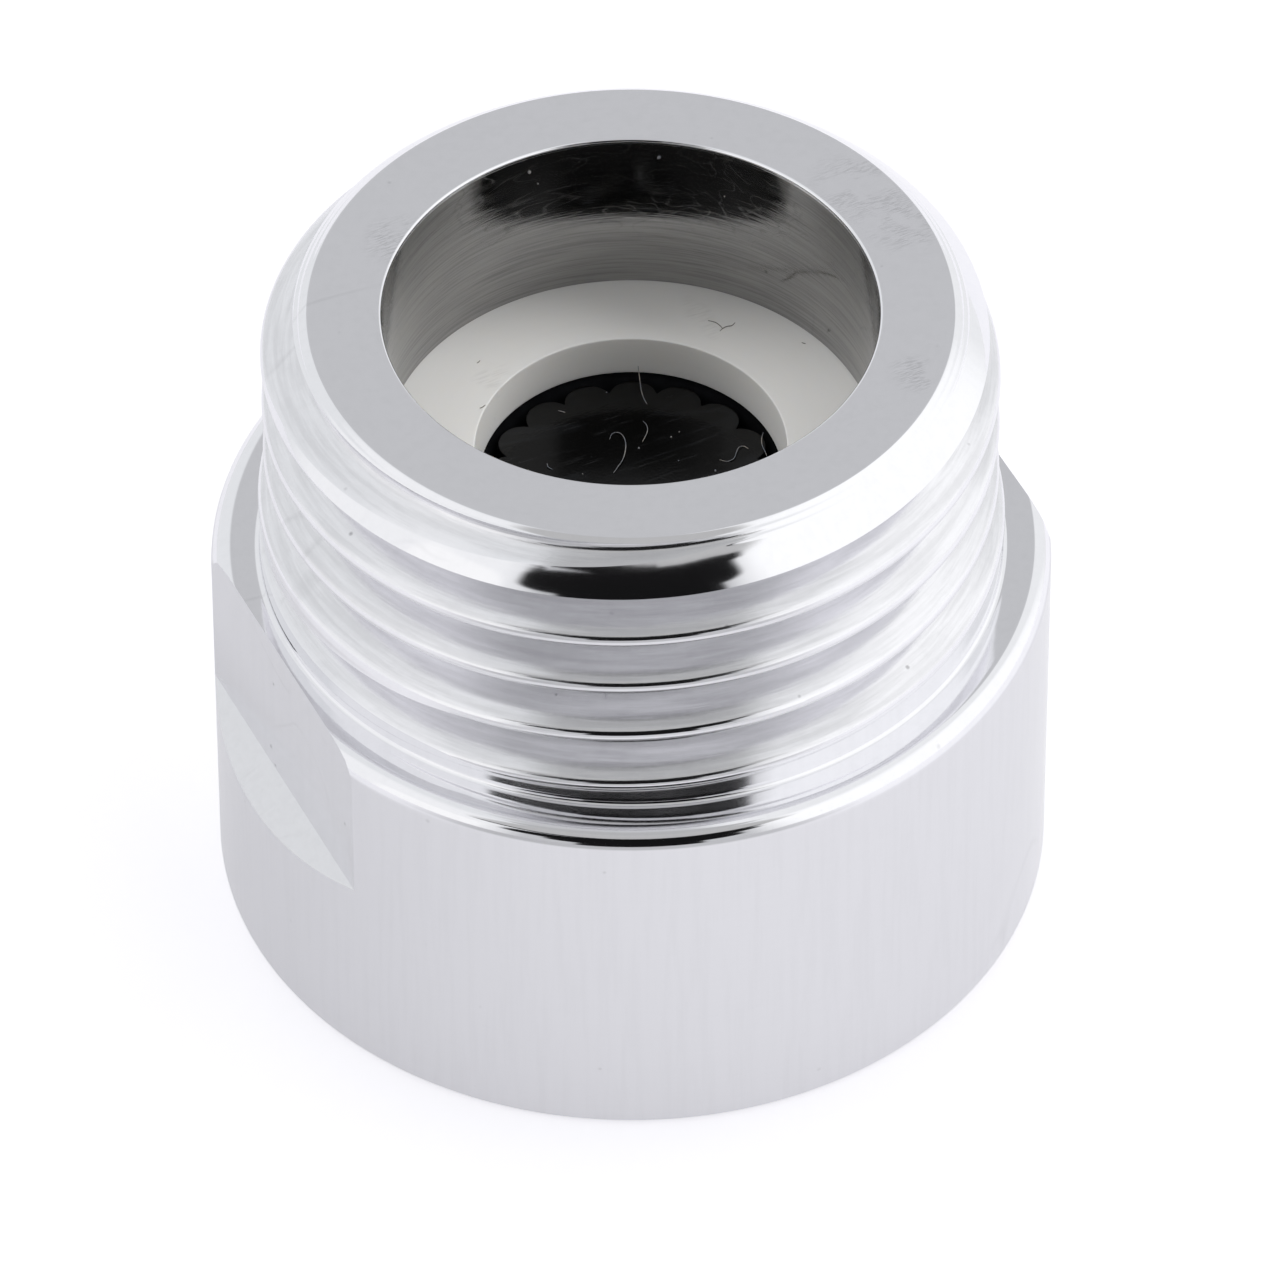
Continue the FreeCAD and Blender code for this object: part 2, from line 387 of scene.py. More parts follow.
def finish_piece(piece, material, slot, *nodes):
    """Gives a piece its material, puts it under the root body and hides the CAD nodes it stands in
    for.
    """
    piece.data.materials.append(material)
    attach(piece, "root")
    if nodes:
        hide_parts(*nodes)


def thread_rounding(sizes):
    """The rounding of the crests and roots of a pipe thread of this pitch."""
    return ROUNDING_SHARE * sizes.pitch


def thread_depth(sizes):
    return DEPTH_SHARE * sizes.pitch


def thread_drop(sizes, offset):
    """How deep the thread lies below its crest, at an offset along the axis from the crest."""
    half_angle = sizes.flank_angle / 2
    rounding = thread_rounding(sizes)
    sharp_crest = rounding * (1 - 1 / math.sin(half_angle))
    away = abs(offset)
    left = sizes.pitch / 2 - away
    if away <= rounding * math.cos(half_angle):
        return rounding - math.sqrt(rounding ** 2 - away ** 2)
    if left <= rounding * math.cos(half_angle):
        return thread_depth(sizes) - rounding + math.sqrt(rounding ** 2 - left ** 2)
    return sharp_crest + away / math.tan(half_angle)


def thread_offsets(sizes):
    """Offsets from a crest that follow its rounding, the flanks and the root, over one turn."""
    reach = thread_rounding(sizes) * math.cos(sizes.flank_angle / 2)
    half = sizes.pitch / 2
    crest = [reach * share for share in (0, 0.14, 0.28, 0.42, 0.56, 0.72, 0.87, 1)]
    flank = [reach + (half - 2 * reach) * share for share in (0.15, 0.38, 0.62, 0.85, 1)]
    root = [half - reach * share for share in (0.85, 0.6, 0.3, 0)]
    rising = crest + flank + root
    return [-offset for offset in reversed(rising[1:-1])] + rising


def eased(value):
    """A share from 0 to 1 with soft ends."""
    share = min(max(value, 0.0), 1.0)
    return share * share * (3 - 2 * share)


def helix_heights(sizes, first_crest, turn, low, high):
    """Heights of one column that follow the thread's rows, with the height of the nearest crest.

    Rows past an end gather on that end, so that every column has as many rows.
    """
    crest_here = first_crest + sizes.pitch * turn / (2 * math.pi)
    lowest = math.floor((low - first_crest) / sizes.pitch) - 2
    highest = math.ceil((high - first_crest) / sizes.pitch) + 1
    heights = []
    for index in range(lowest, highest + 1):
        for offset in thread_offsets(sizes):
            height = min(max(crest_here + sizes.pitch * index + offset, low), high)
            nearest = round((height - crest_here) / sizes.pitch)
            heights.append((height, crest_here + sizes.pitch * nearest))
    return heights


def nose_radius(sizes, height):
    """The radius of the nose at a height, with its slight swell and its ridges."""
    share = (height - sizes.top + sizes.nose_length) / sizes.nose_length
    swell = 4 * sizes.nose_bulge * share * (1 - share)
    for depth in NOSE_RIDGES:
        away = (sizes.top - depth - height) / RIDGE_WIDTH
        swell += sizes.ridge * math.exp(-away ** 2)
    return sizes.crest_radius - sizes.nose_width * share + swell


def blank_radius(sizes, height):
    """The radius of the nipple before its thread."""
    if height > sizes.top - sizes.nose_length:
        return nose_radius(sizes, height)
    share = eased((height - sizes.blank_top) / sizes.blank_ease)
    return sizes.blank_radius + (sizes.crest_radius - sizes.blank_radius) * share


def nipple_thread_radius(sizes, height, crest):
    """The radius that the nipple's thread leaves, with its run-out at the foot."""
    offset = height - crest
    root = crest + math.copysign(sizes.pitch / 2, offset)
    lift = 1 - min(max((root - sizes.run_out) / sizes.run_out_ease, 0.0), 1.0)
    share = eased((crest - sizes.blank_top) / sizes.blank_ease)
    over = sizes.blank_radius + (sizes.crest_radius - sizes.blank_radius) * share
    return over - thread_drop(sizes, offset) + lift * RUN_OUT_LIFT * thread_depth(sizes)


def cut_back(base, limits, sign, zone=""):
    """The base line (radius, height) cut back to the limits, as points for mesh_of_columns.

    The point nearest to each crossing moves onto it and becomes a crease point. sign is 1 where
    the limit is the largest radius and -1 where it is the smallest.
    """
    excess = [sign * (point[0] - limit) for point, limit in zip(base, limits)]
    points = []
    for point, limit, over in zip(base, limits, excess):
        cut = eased(over / FULL_CUT)
        points.append((limit if over > 0 else point[0], point[1], False, cut, zone))
    for index in range(len(points) - 1):
        here, there = excess[index], excess[index + 1]
        if here * there < 0:
            share = here / (here - there)
            crossing = [a + (b - a) * share for a, b in zip(base[index], base[index + 1])]
            nearest = index if share < 0.5 else index + 1
            points[nearest] = (crossing[0], crossing[1], True, 0.0, zone)
    return points


def shoulder_line(sizes):
    """The shoulder's rounded edge, its flat and the fillet at the nipple's foot."""
    radius = sizes.collar_radius
    foot = sizes.blank_radius - sizes.shank_step
    line = rounded([
        (radius, sizes.shoulder - 2 * sizes.shoulder_rounding, 0),
        (radius, sizes.shoulder, sizes.shoulder_rounding),
        (foot, sizes.shoulder, sizes.root_fillet),
        (foot, sizes.shoulder + 1.5 * sizes.root_fillet, 0),
    ], closed=False)
    return divided(line[1:], SHOULDER_RUN)


def collar_column(sizes, line, turn):
    """One column of the collar's outside, from the wall under the flats to the nipple's foot.

    Rows of the shoulder that a flat takes away gather on the flat's upper edge.
    """
    facing_flat = max(abs(math.cos(turn)), 1e-6)
    cut = max(sizes.collar_radius * facing_flat - sizes.flat_distance, 0.0)
    is_flat = cut > 1e-9
    at_edge = abs(sizes.collar_radius * facing_flat - sizes.flat_distance) < 1e-9
    flat_radius = sizes.flat_distance / facing_flat if is_flat else sizes.collar_radius
    ledge_low = sizes.flat_bottom - cut * math.tan(sizes.ledge_angle)
    zone = MILLED if is_flat or at_edge else ""
    points = [(sizes.collar_radius, sizes.flat_bottom - WALL_HOLD, False, 0.0, "")]
    for step in range(LEDGE_STEPS + 1):
        share = step / LEDGE_STEPS
        height = ledge_low + (sizes.flat_bottom - ledge_low) * share
        radius = sizes.collar_radius + (flat_radius - sizes.collar_radius) * share
        points.append((radius, height, bool(zone) and step in (0, LEDGE_STEPS), 0.0, zone))
    index = next(i for i, point in enumerate(line) if point[0] <= flat_radius + 1e-9)
    crossing = Vector(line[index])
    if is_flat and index > 0:
        before = line[index - 1]
        share = (before[0] - flat_radius) / (before[0] - line[index][0])
        crossing = before.lerp(line[index], share)
    else:
        index = 0
        crossing = Vector(line[0])
    for step in range(1, FLAT_STEPS):
        height = sizes.flat_bottom + (crossing[1] - sizes.flat_bottom) * step / FLAT_STEPS
        points.append((flat_radius, height, at_edge, 0.0, zone))
    for position, point in enumerate(line):
        if position < index or (is_flat and position == 0):
            points.append((crossing[0], crossing[1], True, 0.0, zone))
        elif at_edge and position == 0:
            points.append((point[0], point[1], True, 0.0, zone))
        else:
            points.append((point[0], point[1], False, 0.0, ""))
    return points


def shank_drop(sizes, turn, height):
    """How far the foot stands back at a height, under the lowest crest of the thread."""
    start = sizes.shoulder + LOWEST_CREST
    crest = sizes.first_crest + sizes.pitch * turn / (2 * math.pi)
    crest -= math.floor((crest - start) / sizes.pitch) * sizes.pitch
    drops = []
    for lowest in (crest, crest + sizes.pitch):
        out = eased((height - lowest + SHANK_END) / SHANK_RISE)
        drops.append(sizes.shank_step * (1 - out))
    share = eased((crest - start) / CREST_HANDOVER)
    return drops[0] * share + drops[1] * (1 - share)


def nipple_column(sizes, turn):
    """One column of the nipple, from its foot to just under its rim."""
    low = sizes.shoulder + 1.5 * sizes.root_fillet
    high = sizes.top - NOSE_RIDGES[-1] - 3 * RIDGE_WIDTH
    heights = helix_heights(sizes, sizes.first_crest, turn, low, high)
    crest_here = sizes.first_crest + sizes.pitch * turn / (2 * math.pi)
    for step in range(1, NOSE_STEPS + 1):
        height = high + (sizes.top - RIM_HEIGHT - high) * step / NOSE_STEPS
        nearest = round((height - crest_here) / sizes.pitch)
        heights.append((height, crest_here + sizes.pitch * nearest))
    base = []
    for height, crest in heights:
        base.append((blank_radius(sizes, height) - shank_drop(sizes, turn, height), height))
    limits = [nipple_thread_radius(sizes, height, crest) for height, crest in heights]
    return cut_back(base, limits, 1)


def rim_line(sizes):
    """The nose's upper end, the outlet's face and the bore's edge."""
    high = sizes.top - 0.9 * RIM_HEIGHT
    return rounded([
        (nose_radius(sizes, high), high, 0),
        (nose_radius(sizes, sizes.top), sizes.top, 0.06 * MM),
        (sizes.bore_radius, sizes.top, 0.08 * MM),
        (sizes.bore_radius, sizes.top - 0.12 * MM, 0),
    ], closed=False)


def inside_line(sizes):
    """The body's inside from the bore to the socket's thread."""
    return rounded([
        (sizes.bore_radius, sizes.top - 0.15 * MM, 0),
        (sizes.bore_radius, sizes.seat, 0.05 * MM),
        (sizes.cartridge_radius, sizes.seat, 0.05 * MM),
        (sizes.cartridge_radius, sizes.socket_depth, 0.1 * MM),
        (sizes.relief_radius, sizes.socket_depth, 0.1 * MM),
        (sizes.relief_radius, sizes.relief_bottom, 0.08 * MM),
        (sizes.socket_radius, sizes.relief_bottom, 0.05 * MM),
        (sizes.socket_radius, sizes.relief_bottom - 0.2 * MM, 0),
    ], closed=False)


def socket_column(sizes, turn):
    """One column of the socket's thread, from the relief down to the base."""
    entry = sizes.socket_radius + sizes.lead_in
    high = sizes.relief_bottom - SOCKET_END
    heights = helix_heights(sizes, 0.0, turn, SOCKET_START, high)
    base = []
    limits = []
    for height, crest in heights:
        base.append((max(sizes.socket_radius, entry - height), height))
        faded = (high - height) / SOCKET_FADE * thread_depth(sizes)
        drop = thread_drop(sizes, height - crest)
        limits.append(sizes.socket_radius + min(drop, max(faded, 0.0)))
    points = cut_back(base, limits, -1, BARE)
    return list(reversed(points)) + [(entry + 0.06 * MM, 0.0, False, 0.0, BARE)]


def is_clear(turn, edges, closest):
    """Whether an angle keeps its distance from all the edges."""
    return min(abs(turn - edge) for edge in edges) > closest


def body_angles(sizes):
    """Even columns, and one at each upright edge of the flats."""
    edge = math.acos(sizes.flat_distance / sizes.collar_radius)
    edges = [edge, math.pi - edge, math.pi + edge, 2 * math.pi - edge]
    closest = 0.4 * 2 * math.pi / sizes.columns
    kept = [turn for turn in even_angles(sizes.columns) if is_clear(turn, edges, closest)]
    return sorted(kept + edges)


class RegulatorAddBody(bpy.types.Operator):
    """Make the chromed body with its two threads, spanner flats and machining marks"""

    bl_idname = "regulator.add_body"
    bl_label = "Threaded body"

    def execute(self, context):
        sizes = context.scene.regulator_body
        foot = rounded([
            (sizes.socket_radius + sizes.lead_in + 0.3 * MM, 0, 0),
            (sizes.collar_radius, 0, sizes.base_edge),
            (sizes.collar_radius, 5 * sizes.base_edge, 0),
        ], closed=False)
        edge = shoulder_line(sizes)
        nose = rim_line(sizes)
        inside = inside_line(sizes)
        angles = body_angles(sizes)
        columns = []
        for turn in angles:
            column = plain_column(foot) + collar_column(sizes, edge, turn)
            column += nipple_column(sizes, turn) + plain_column(nose)
            column += plain_column(inside, 1.0, BARE) + socket_column(sizes, turn)
            columns.append(column)
        piece = mesh_of_columns("body_turned", columns, angles)
        finish_piece(piece, chrome_material(), "chromed_metal", "threaded_body")
        return {"FINISHED"}


# How far outside the hole's wall the lip's upper corner lies, and how much higher the chamber's
# ceiling lies than the lip's thickness alone would put it.
LIP_GAP = 0.03 * MM
CEILING_LIFT = 0.03 * MM


def housing_face(sizes, radius):
    """The height of the housing's crowned face at a radius."""
    hole = sizes.hole_radius + sizes.hole_draft + LIP_GAP
    share = min(max((sizes.face_radius - radius) / (sizes.face_radius - hole), 0.0), 1.0)
    return HOUSING_BOX[1].z - sizes.lip_crown * (1 - share)


# Columns of faces round the housing.
HOUSING_COLUMNS = 180


class RegulatorAddHousing(bpy.types.Operator):
    """Make the white moulded housing with its crowned lip"""

    bl_idname = "regulator.add_housing"
    bl_label = "Housing"

    def execute(self, context):
        sizes = context.scene.regulator_insert
        low, high = HOUSING_BOX
        radius = high.x
        seat = housing_face(sizes, radius)
        chamber_top = seat - sizes.lip_thickness + CEILING_LIFT
        hole_top = sizes.hole_radius + sizes.hole_draft
        groove = radius - sizes.seal_groove
        groove_low = low.z + sizes.seal_groove_low
        groove_high = low.z + sizes.seal_groove_high
        snap = sizes.chamber_radius + sizes.snap_groove
        snap_low = low.z + sizes.snap_groove_low
        snap_high = low.z + sizes.snap_groove_high
        recess = sizes.chamber_radius + sizes.filter_step
        recess_top = low.z + sizes.filter_recess
        edge = 0.05 * MM
        fine = 0.03 * MM
        section = rounded([
            (recess, low.z, edge),
            (radius, low.z, 2 * edge),
            (radius, groove_low, edge),
            (groove, groove_low, edge),
            (groove, groove_high, edge),
            (radius, groove_high, edge),
            (radius, seat, 2 * edge),
            (sizes.face_radius, seat, edge),
            (hole_top + LIP_GAP, high.z, 0.04 * MM),
            (sizes.hole_radius, chamber_top, 0.04 * MM),
            (sizes.chamber_radius, chamber_top, edge),
            (sizes.chamber_radius, snap_high, fine),
            (snap, snap_high, fine),
            (snap, snap_low, fine),
            (sizes.chamber_radius, snap_low, fine),
            (sizes.chamber_radius, recess_top, fine),
            (recess, recess_top, fine),
        ])
        piece = turned_mesh("housing_moulded", section, HOUSING_COLUMNS)
        finish_piece(piece, white_material(), "white_plastic", "regulator_housing")
        return {"FINISHED"}


# Columns of faces round each lobe of the core.
LOBE_COLUMNS = 30


def core_outline(sizes, turn):
    """The radius of the core's section at an angle: round lobes joined by round flutes."""
    half = math.pi / sizes.lobe_count
    lobe = sizes.lobe_fullness * sizes.core_radius * math.sin(half)
    lobe_centre = sizes.core_radius - lobe
    root = sizes.core_radius - sizes.flute_depth
    reach = lobe_centre * math.cos(half)
    squares = lobe ** 2 - lobe_centre ** 2 - root ** 2 + 2 * root * reach
    flute = squares / (2 * (root - reach - lobe))
    flute_centre = root + flute
    away = abs((turn + half) % (2 * half) - half)
    left = half - away
    inner = flute_centre * math.cos(left) - math.sqrt(
        max(flute ** 2 - (flute_centre * math.sin(left)) ** 2, 0.0)
    )
    outer = lobe_centre * math.cos(away) + math.sqrt(
        max(lobe ** 2 - (lobe_centre * math.sin(away)) ** 2, 0.0)
    )
    in_flute = abs(flute_centre * math.sin(left)) < flute and inner < outer
    return inner if in_flute else outer


class RegulatorAddCore(bpy.types.Operator):
    """Make the black fluted core with its notched flange"""

    bl_idname = "regulator.add_core"
    bl_label = "Core"

    def execute(self, context):
        sizes = context.scene.regulator_insert
        low, high = CORE_BOX
        flange_radius = high.x
        flange_top = low.z + sizes.flange
        hollow = sizes.core_radius - sizes.flute_depth - sizes.core_wall
        edge = 0.05 * MM
        section = rounded([
            (0, high.z, 0),
            (sizes.core_radius, high.z, edge),
            (sizes.core_radius, flange_top, 0.04 * MM),
            (flange_radius, flange_top, edge),
            (flange_radius, low.z, edge),
            (hollow, low.z, edge),
            (hollow, high.z - sizes.core_wall, edge),
            (0, high.z - sizes.core_wall, 0),
        ])
        fluted = [
            height > flange_top - 0.01 * MM and radius > 0.9 * sizes.core_radius
            for radius, height in section
        ]
        notched = [
            radius > sizes.core_radius + 0.2 * MM and not is_fluted
            for (radius, height), is_fluted in zip(section, fluted)
        ]
        notch_room = 2 * math.pi / sizes.notch_count

        def shape(section, turn):
            drop = sizes.core_radius - core_outline(sizes, turn)
            away = abs((turn + notch_room / 2) % notch_room - notch_room / 2)
            points = []
            for point, is_fluted, is_notched in zip(section, fluted, notched):
                radius = point[0]
                if is_fluted and radius < sizes.core_radius + 0.1 * MM:
                    radius -= drop
                elif (is_notched or is_fluted) and away < sizes.notch_angle / 2:
                    radius = min(radius, sizes.core_radius + 0.05 * MM)
                points.append(Vector((radius, point[1])))
            return points

        piece = turned_mesh("core_fluted", section, sizes.lobe_count * LOBE_COLUMNS, shape)
        finish_piece(piece, black_material(), "black_plastic", "regulator_core")
        return {"FINISHED"}


# Columns of faces round each ring.
RING_COLUMNS = 144


def ring_section(radius, height, width, rise, sides=28):
    """The oval section of a squeezed soft ring, as wide and high as given."""
    points = []
    for index in range(sides):
        turn = -2 * math.pi * index / sides
        across = math.copysign(abs(math.cos(turn)) ** 0.8, math.cos(turn))
        up = math.copysign(abs(math.sin(turn)) ** 0.8, math.sin(turn))
        points.append(Vector((radius + across * width / 2, height + up * rise / 2)))
    return points


class RegulatorAddSoftRings(bpy.types.Operator):
    """Make the two soft rings and the flat inlet washer"""

    bl_idname = "regulator.add_soft_rings"
    bl_label = "Soft rings and washer"

    def execute(self, context):
        insert = context.scene.regulator_insert
        rubber = rubber_material()
        room = 0.02 * MM
        seal_inner = HOUSING_BOX[1].x - insert.seal_groove + room
        core_side = insert.core_radius + room
        rings = (
            ("seal_ring_round", "housing_seal_ring", SEAL_BOX, seal_inner),
            ("regulating_ring_round", "regulating_ring", REGULATING_BOX, core_side),
        )
        for name, node, (low, high), inner in rings:
            middle = ((inner + high.x) / 2, (low.z + high.z) / 2)
            section = ring_section(*middle, high.x - inner, high.z - low.z)
            piece = turned_mesh(name, section, RING_COLUMNS)
            finish_piece(piece, rubber, "soft_rubber", node)
        low, high = WASHER_BOX
        edge = 0.12 * MM
        section = rounded([
            (insert.washer_hole, low.z, edge),
            (insert.washer_hole, high.z, edge),
            (high.x, high.z, edge),
            (high.x, low.z, edge),
        ])
        washer = turned_mesh("washer_flat", section, RING_COLUMNS)
        finish_piece(washer, rubber, "soft_rubber", "inlet_washer")
        return {"FINISHED"}


class RegulatorFinishFilter(bpy.types.Operator):
    """Give the inlet filter its moulded finish"""

    bl_idname = "regulator.finish_filter"
    bl_label = "Inlet filter"

    def execute(self, context):
        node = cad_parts["inlet_filter"]
        node.data.materials.clear()
        node.data.materials.append(pale_material())
        return {"FINISHED"}


# Fibres that lie on the core, each a line of points (x, y, lift over the core's face) in mm.
FIBRES = (
    ((2.05, 3.82, 0.42), (1.95, 3.5, 0.2), (1.86, 3.2, 0.03), (1.8, 2.9, 0.0), (1.79, 2.68, 0.0)),
    ((1.38, 2.1, 0.0), (1.38, 1.86, 0.05), (1.28, 1.6, 0.06), (0.99, 1.33, 0.0)),
    ((0.2, 1.84, 0.0), (0.38, 2.02, 0.0), (0.55, 1.9, 0.05), (0.55, 1.59, 0.1), (0.43, 1.25, 0.1),
     (0.18, 0.9, 0.06), (-0.11, 0.68, 0.02), (-0.3, 0.54, 0.0)),
    ((2.66, -0.28, 0.0), (2.84, -0.43, 0.0), (3.05, -0.42, 0.03), (3.2, -0.26, 0.05),
     (3.36, -0.1, 0.05), (3.53, -0.08, 0.0), (3.6, -0.22, 0.0)),
    ((4.2, 0.05, 0.15), (4.08, -0.1, 0.08), (4.0, -0.3, 0.02), (3.98, -0.52, 0.0),
     (3.94, -0.72, 0.0)),
    ((-1.83, 1.71, 0.0), (-1.87, 1.56, 0.02), (-1.8, 1.43, 0.0)),
    ((-0.62, 3.54, 0.0), (-0.52, 3.44, 0.0), (-0.47, 3.38, 0.0)),
)
# Specks on the core's face (x, y, radius) and on the bore's wall (direction in degrees, height
# under the outlet's face, radius), in mm.
CORE_SPECKS = (
    (2.36, -0.63, 0.045), (-2.44, 1.68, 0.03), (0.96, 3.62, 0.025), (1.82, 1.16, 0.03),
    (2.12, 1.25, 0.025), (0.8, 1.15, 0.035), (-1.1, 0.9, 0.022), (1.6, 0.2, 0.022),
    (0.3, -1.2, 0.025),
)
BORE_SPECKS = ((88.8, 0.65, 0.045), (86.6, 1.2, 0.03), (57.8, 0.62, 0.055), (42.0, 1.7, 0.025))
# Dark marks on the housing's face, each a line of points (x, y) in mm.
FLECKS = (
    ((4.25, 3.78), (4.4, 3.62), (4.46, 3.46), (4.48, 3.29)),
    ((4.92, 3.38), (4.78, 3.3), (4.62, 3.32), (4.48, 3.29), (4.36, 3.22)),
    ((6.29, 1.84), (6.33, 1.79), (6.37, 1.75)),
    ((-2.46, 5.04), (-2.4, 5.06), (-2.34, 5.1)),
    ((-3.2, 3.27), (-3.1, 3.28), (-3.0, 3.32)),
)


def smooth_path(points, steps=5):
    """A smooth line through the points."""
    ends = [points[0] * 2 - points[1], *points, points[-1] * 2 - points[-2]]
    path = []
    for before, start, end, after in zip(ends, ends[1:], ends[2:], ends[3:]):
        for step in range(steps):
            t = step / steps
            bend = (2 * before - 5 * start + 4 * end - after) * t ** 2
            twist = (3 * start - before - 3 * end + after) * t ** 3
            path.append((2 * start + (end - before) * t + bend + twist) / 2)
    return path + [points[-1]]


def add_fibre(bm, points, thickness, sides=6):
    """A thin tube along a smooth line, with its ends drawn to points."""
    path = smooth_path(points)
    rings = []
    for index, point in enumerate(path):
        ahead = (path[min(index + 1, len(path) - 1)] - path[max(index - 1, 0)]).normalized()
        across = ahead.cross(Vector((0, 0, 1))).normalized()
        over = across.cross(ahead)
        share = math.sin(math.pi * (index + 0.6) / (len(path) + 0.2)) ** 0.3
        ring = []
        for side in range(sides):
            turn = 2 * math.pi * side / sides
            offset = (across * math.cos(turn) + over * math.sin(turn)) * thickness * share
            ring.append(bm.verts.new(point + offset))
        rings.append(ring)
    for ring, following in zip(rings, rings[1:]):
        for side in range(sides):
            after = (side + 1) % sides
            bm.faces.new((ring[side], ring[after], following[after], following[side]))
    bm.faces.new(rings[0])
    bm.faces.new(rings[-1])


def add_speck(bm, place, radius, chance):
    """A lumpy grain of dust."""
    made = bmesh.ops.create_icosphere(bm, subdivisions=1, radius=radius)
    for vert in made["verts"]:
        vert.co *= 0.65 + 0.7 * chance.random()
        vert.co += place


def add_small_piece(name, bm, material, slot):
    """Turns a bmesh of fibres or specks into a piece."""
    bmesh.ops.recalc_face_normals(bm, faces=bm.faces)
    for face in bm.faces:
        face.smooth = True
    mesh = bpy.data.meshes.new(name)
    bm.to_mesh(mesh)
    bm.free()
    finish_piece(new_object(name, mesh), material, slot)


class RegulatorAddLint(bpy.types.Operator):
    """Lay the fibres, dust and dark flecks on the insert"""

    bl_idname = "regulator.add_lint"
    bl_label = "Lint and flecks"

    def execute(self, context):
        insert = context.scene.regulator_insert
        body = context.scene.regulator_body
        chance = random.Random(7)
        face = CORE_BOX[1].z
        thickness = insert.fibre
        bm = bmesh.new()
        for line in FIBRES:
            base = Vector((0, 0, face + thickness))
            points = [Vector((x, y, lift)) * MM + base for x, y, lift in line]
            add_fibre(bm, points, thickness)
        for x, y, radius in CORE_SPECKS:
            add_speck(bm, Vector((x * MM, y * MM, face + 0.5 * radius * MM)), radius * MM, chance)
        for direction, depth, radius in BORE_SPECKS:
            turn = math.radians(direction)
            wall = body.bore_radius - 0.5 * radius * MM
            place = Vector((wall * math.cos(turn), wall * math.sin(turn), body.top - depth * MM))
            add_speck(bm, place, radius * MM, chance)
        add_small_piece("lint_fibres", bm, lint_material(), "pale_plastic")
        bm = bmesh.new()
        for line in FLECKS:
            points = []
            for x, y in line:
                radius = math.hypot(x, y) * MM
                height = housing_face(insert, radius) + 0.6 * thickness
                points.append(Vector((x * MM, y * MM, height)))
            add_fibre(bm, points, thickness)
        add_small_piece("dark_flecks", bm, fleck_material(), "black_plastic")
        return {"FINISHED"}


def feed(tree, socket, value):
    """Links a socket to an input, or sets the input to a value."""
    if isinstance(value, bpy.types.NodeSocket):
        tree.links.new(value, socket)
    else:
        socket.default_value = value


def add_node(tree, kind, inputs=None, **settings):
    """A shader node. Inputs are given by name or place, as a value or as a socket to link."""
    node = tree.nodes.new("ShaderNode" + kind)
    for name, value in settings.items():
        setattr(node, name, value)
    for key, value in (inputs or {}).items():
        feed(tree, node.inputs[key], value)
    return node


def calculate(tree, operation, first, second=0.0, clamp=False):
    """The result of a Math node."""
    inputs = {0: first, 1: second}
    return add_node(tree, "Math", inputs, operation=operation, use_clamp=clamp).outputs[0]


def stepped(tree, value, low, high, reach=(0.0, 1.0)):
    """A soft step: the first of reach below low, and the second above high."""
    inputs = {"Value": value, "From Min": low, "From Max": high}
    inputs.update({"To Min": reach[0], "To Max": reach[1]})
    return add_node(tree, "MapRange", inputs, interpolation_type="SMOOTHSTEP").outputs[0]


def mixed(tree, share, first, second):
    """Two colours mixed by a share."""
    node = add_node(tree, "Mix", data_type="RGBA", clamp_factor=True)
    for key, value in ((0, share), (6, first), (7, second)):
        feed(tree, node.inputs[key], (*value, 1.0) if isinstance(value, tuple) else value)
    return node.outputs[2]


def new_material(name, base, roughness, metallic=0.0):
    """A material with a plain Principled shader, and its node tree and shader."""
    material = bpy.data.materials.new(name)
    material.use_nodes = True
    tree = material.node_tree
    shader = tree.nodes["Principled BSDF"]
    shader.inputs["Base Color"].default_value = (*base, 1.0)
    shader.inputs["Roughness"].default_value = roughness
    shader.inputs["Metallic"].default_value = metallic
    material.diffuse_color = (*base, 1.0)
    return material, tree, shader


def new_group(name, inputs, output):
    """An empty shader node group with the given float inputs and one float output."""
    tree = bpy.data.node_groups.new(name, "ShaderNodeTree")
    for title, default in inputs.items():
        socket = tree.interface.new_socket(title, in_out="INPUT", socket_type="NodeSocketFloat")
        socket.default_value = default
    tree.interface.new_socket(output, in_out="OUTPUT", socket_type="NodeSocketFloat")
    given = tree.nodes.new("NodeGroupInput")
    result = tree.nodes.new("NodeGroupOutput")
    return tree, given.outputs, result.inputs[output]


def use_group(tree, name, inputs):
    """The result of a node group, placed in a material with values of its own."""
    group = bpy.data.node_groups[name]
    return add_node(tree, "Group", inputs, node_tree=group).outputs[0]


def own_place(tree):
    """The place of a point on its own piece."""
    return add_node(tree, "TexCoord").outputs["Object"]


def rest(tree, share):
    """What a share leaves of one."""
    return calculate(tree, "SUBTRACT", 1.0, share)


def noise(tree, vector, scale, detail=2.0, roughness=0.5, distortion=0.0):
    """The value of a noise texture."""
    inputs = {"Vector": vector, "Scale": scale, "Detail": detail, "Roughness": roughness}
    inputs["Distortion"] = distortion
    return add_node(tree, "TexNoise", inputs).outputs["Fac"]


def moved(tree, vector, offset=(0, 0, 0), turn=(0, 0, 0), scale=(1, 1, 1)):
    """A vector moved, turned and scaled, to give each texture a place and grain of its own."""
    inputs = {"Vector": vector, "Location": offset, "Rotation": turn, "Scale": scale}
    return add_node(tree, "Mapping", inputs).outputs[0]


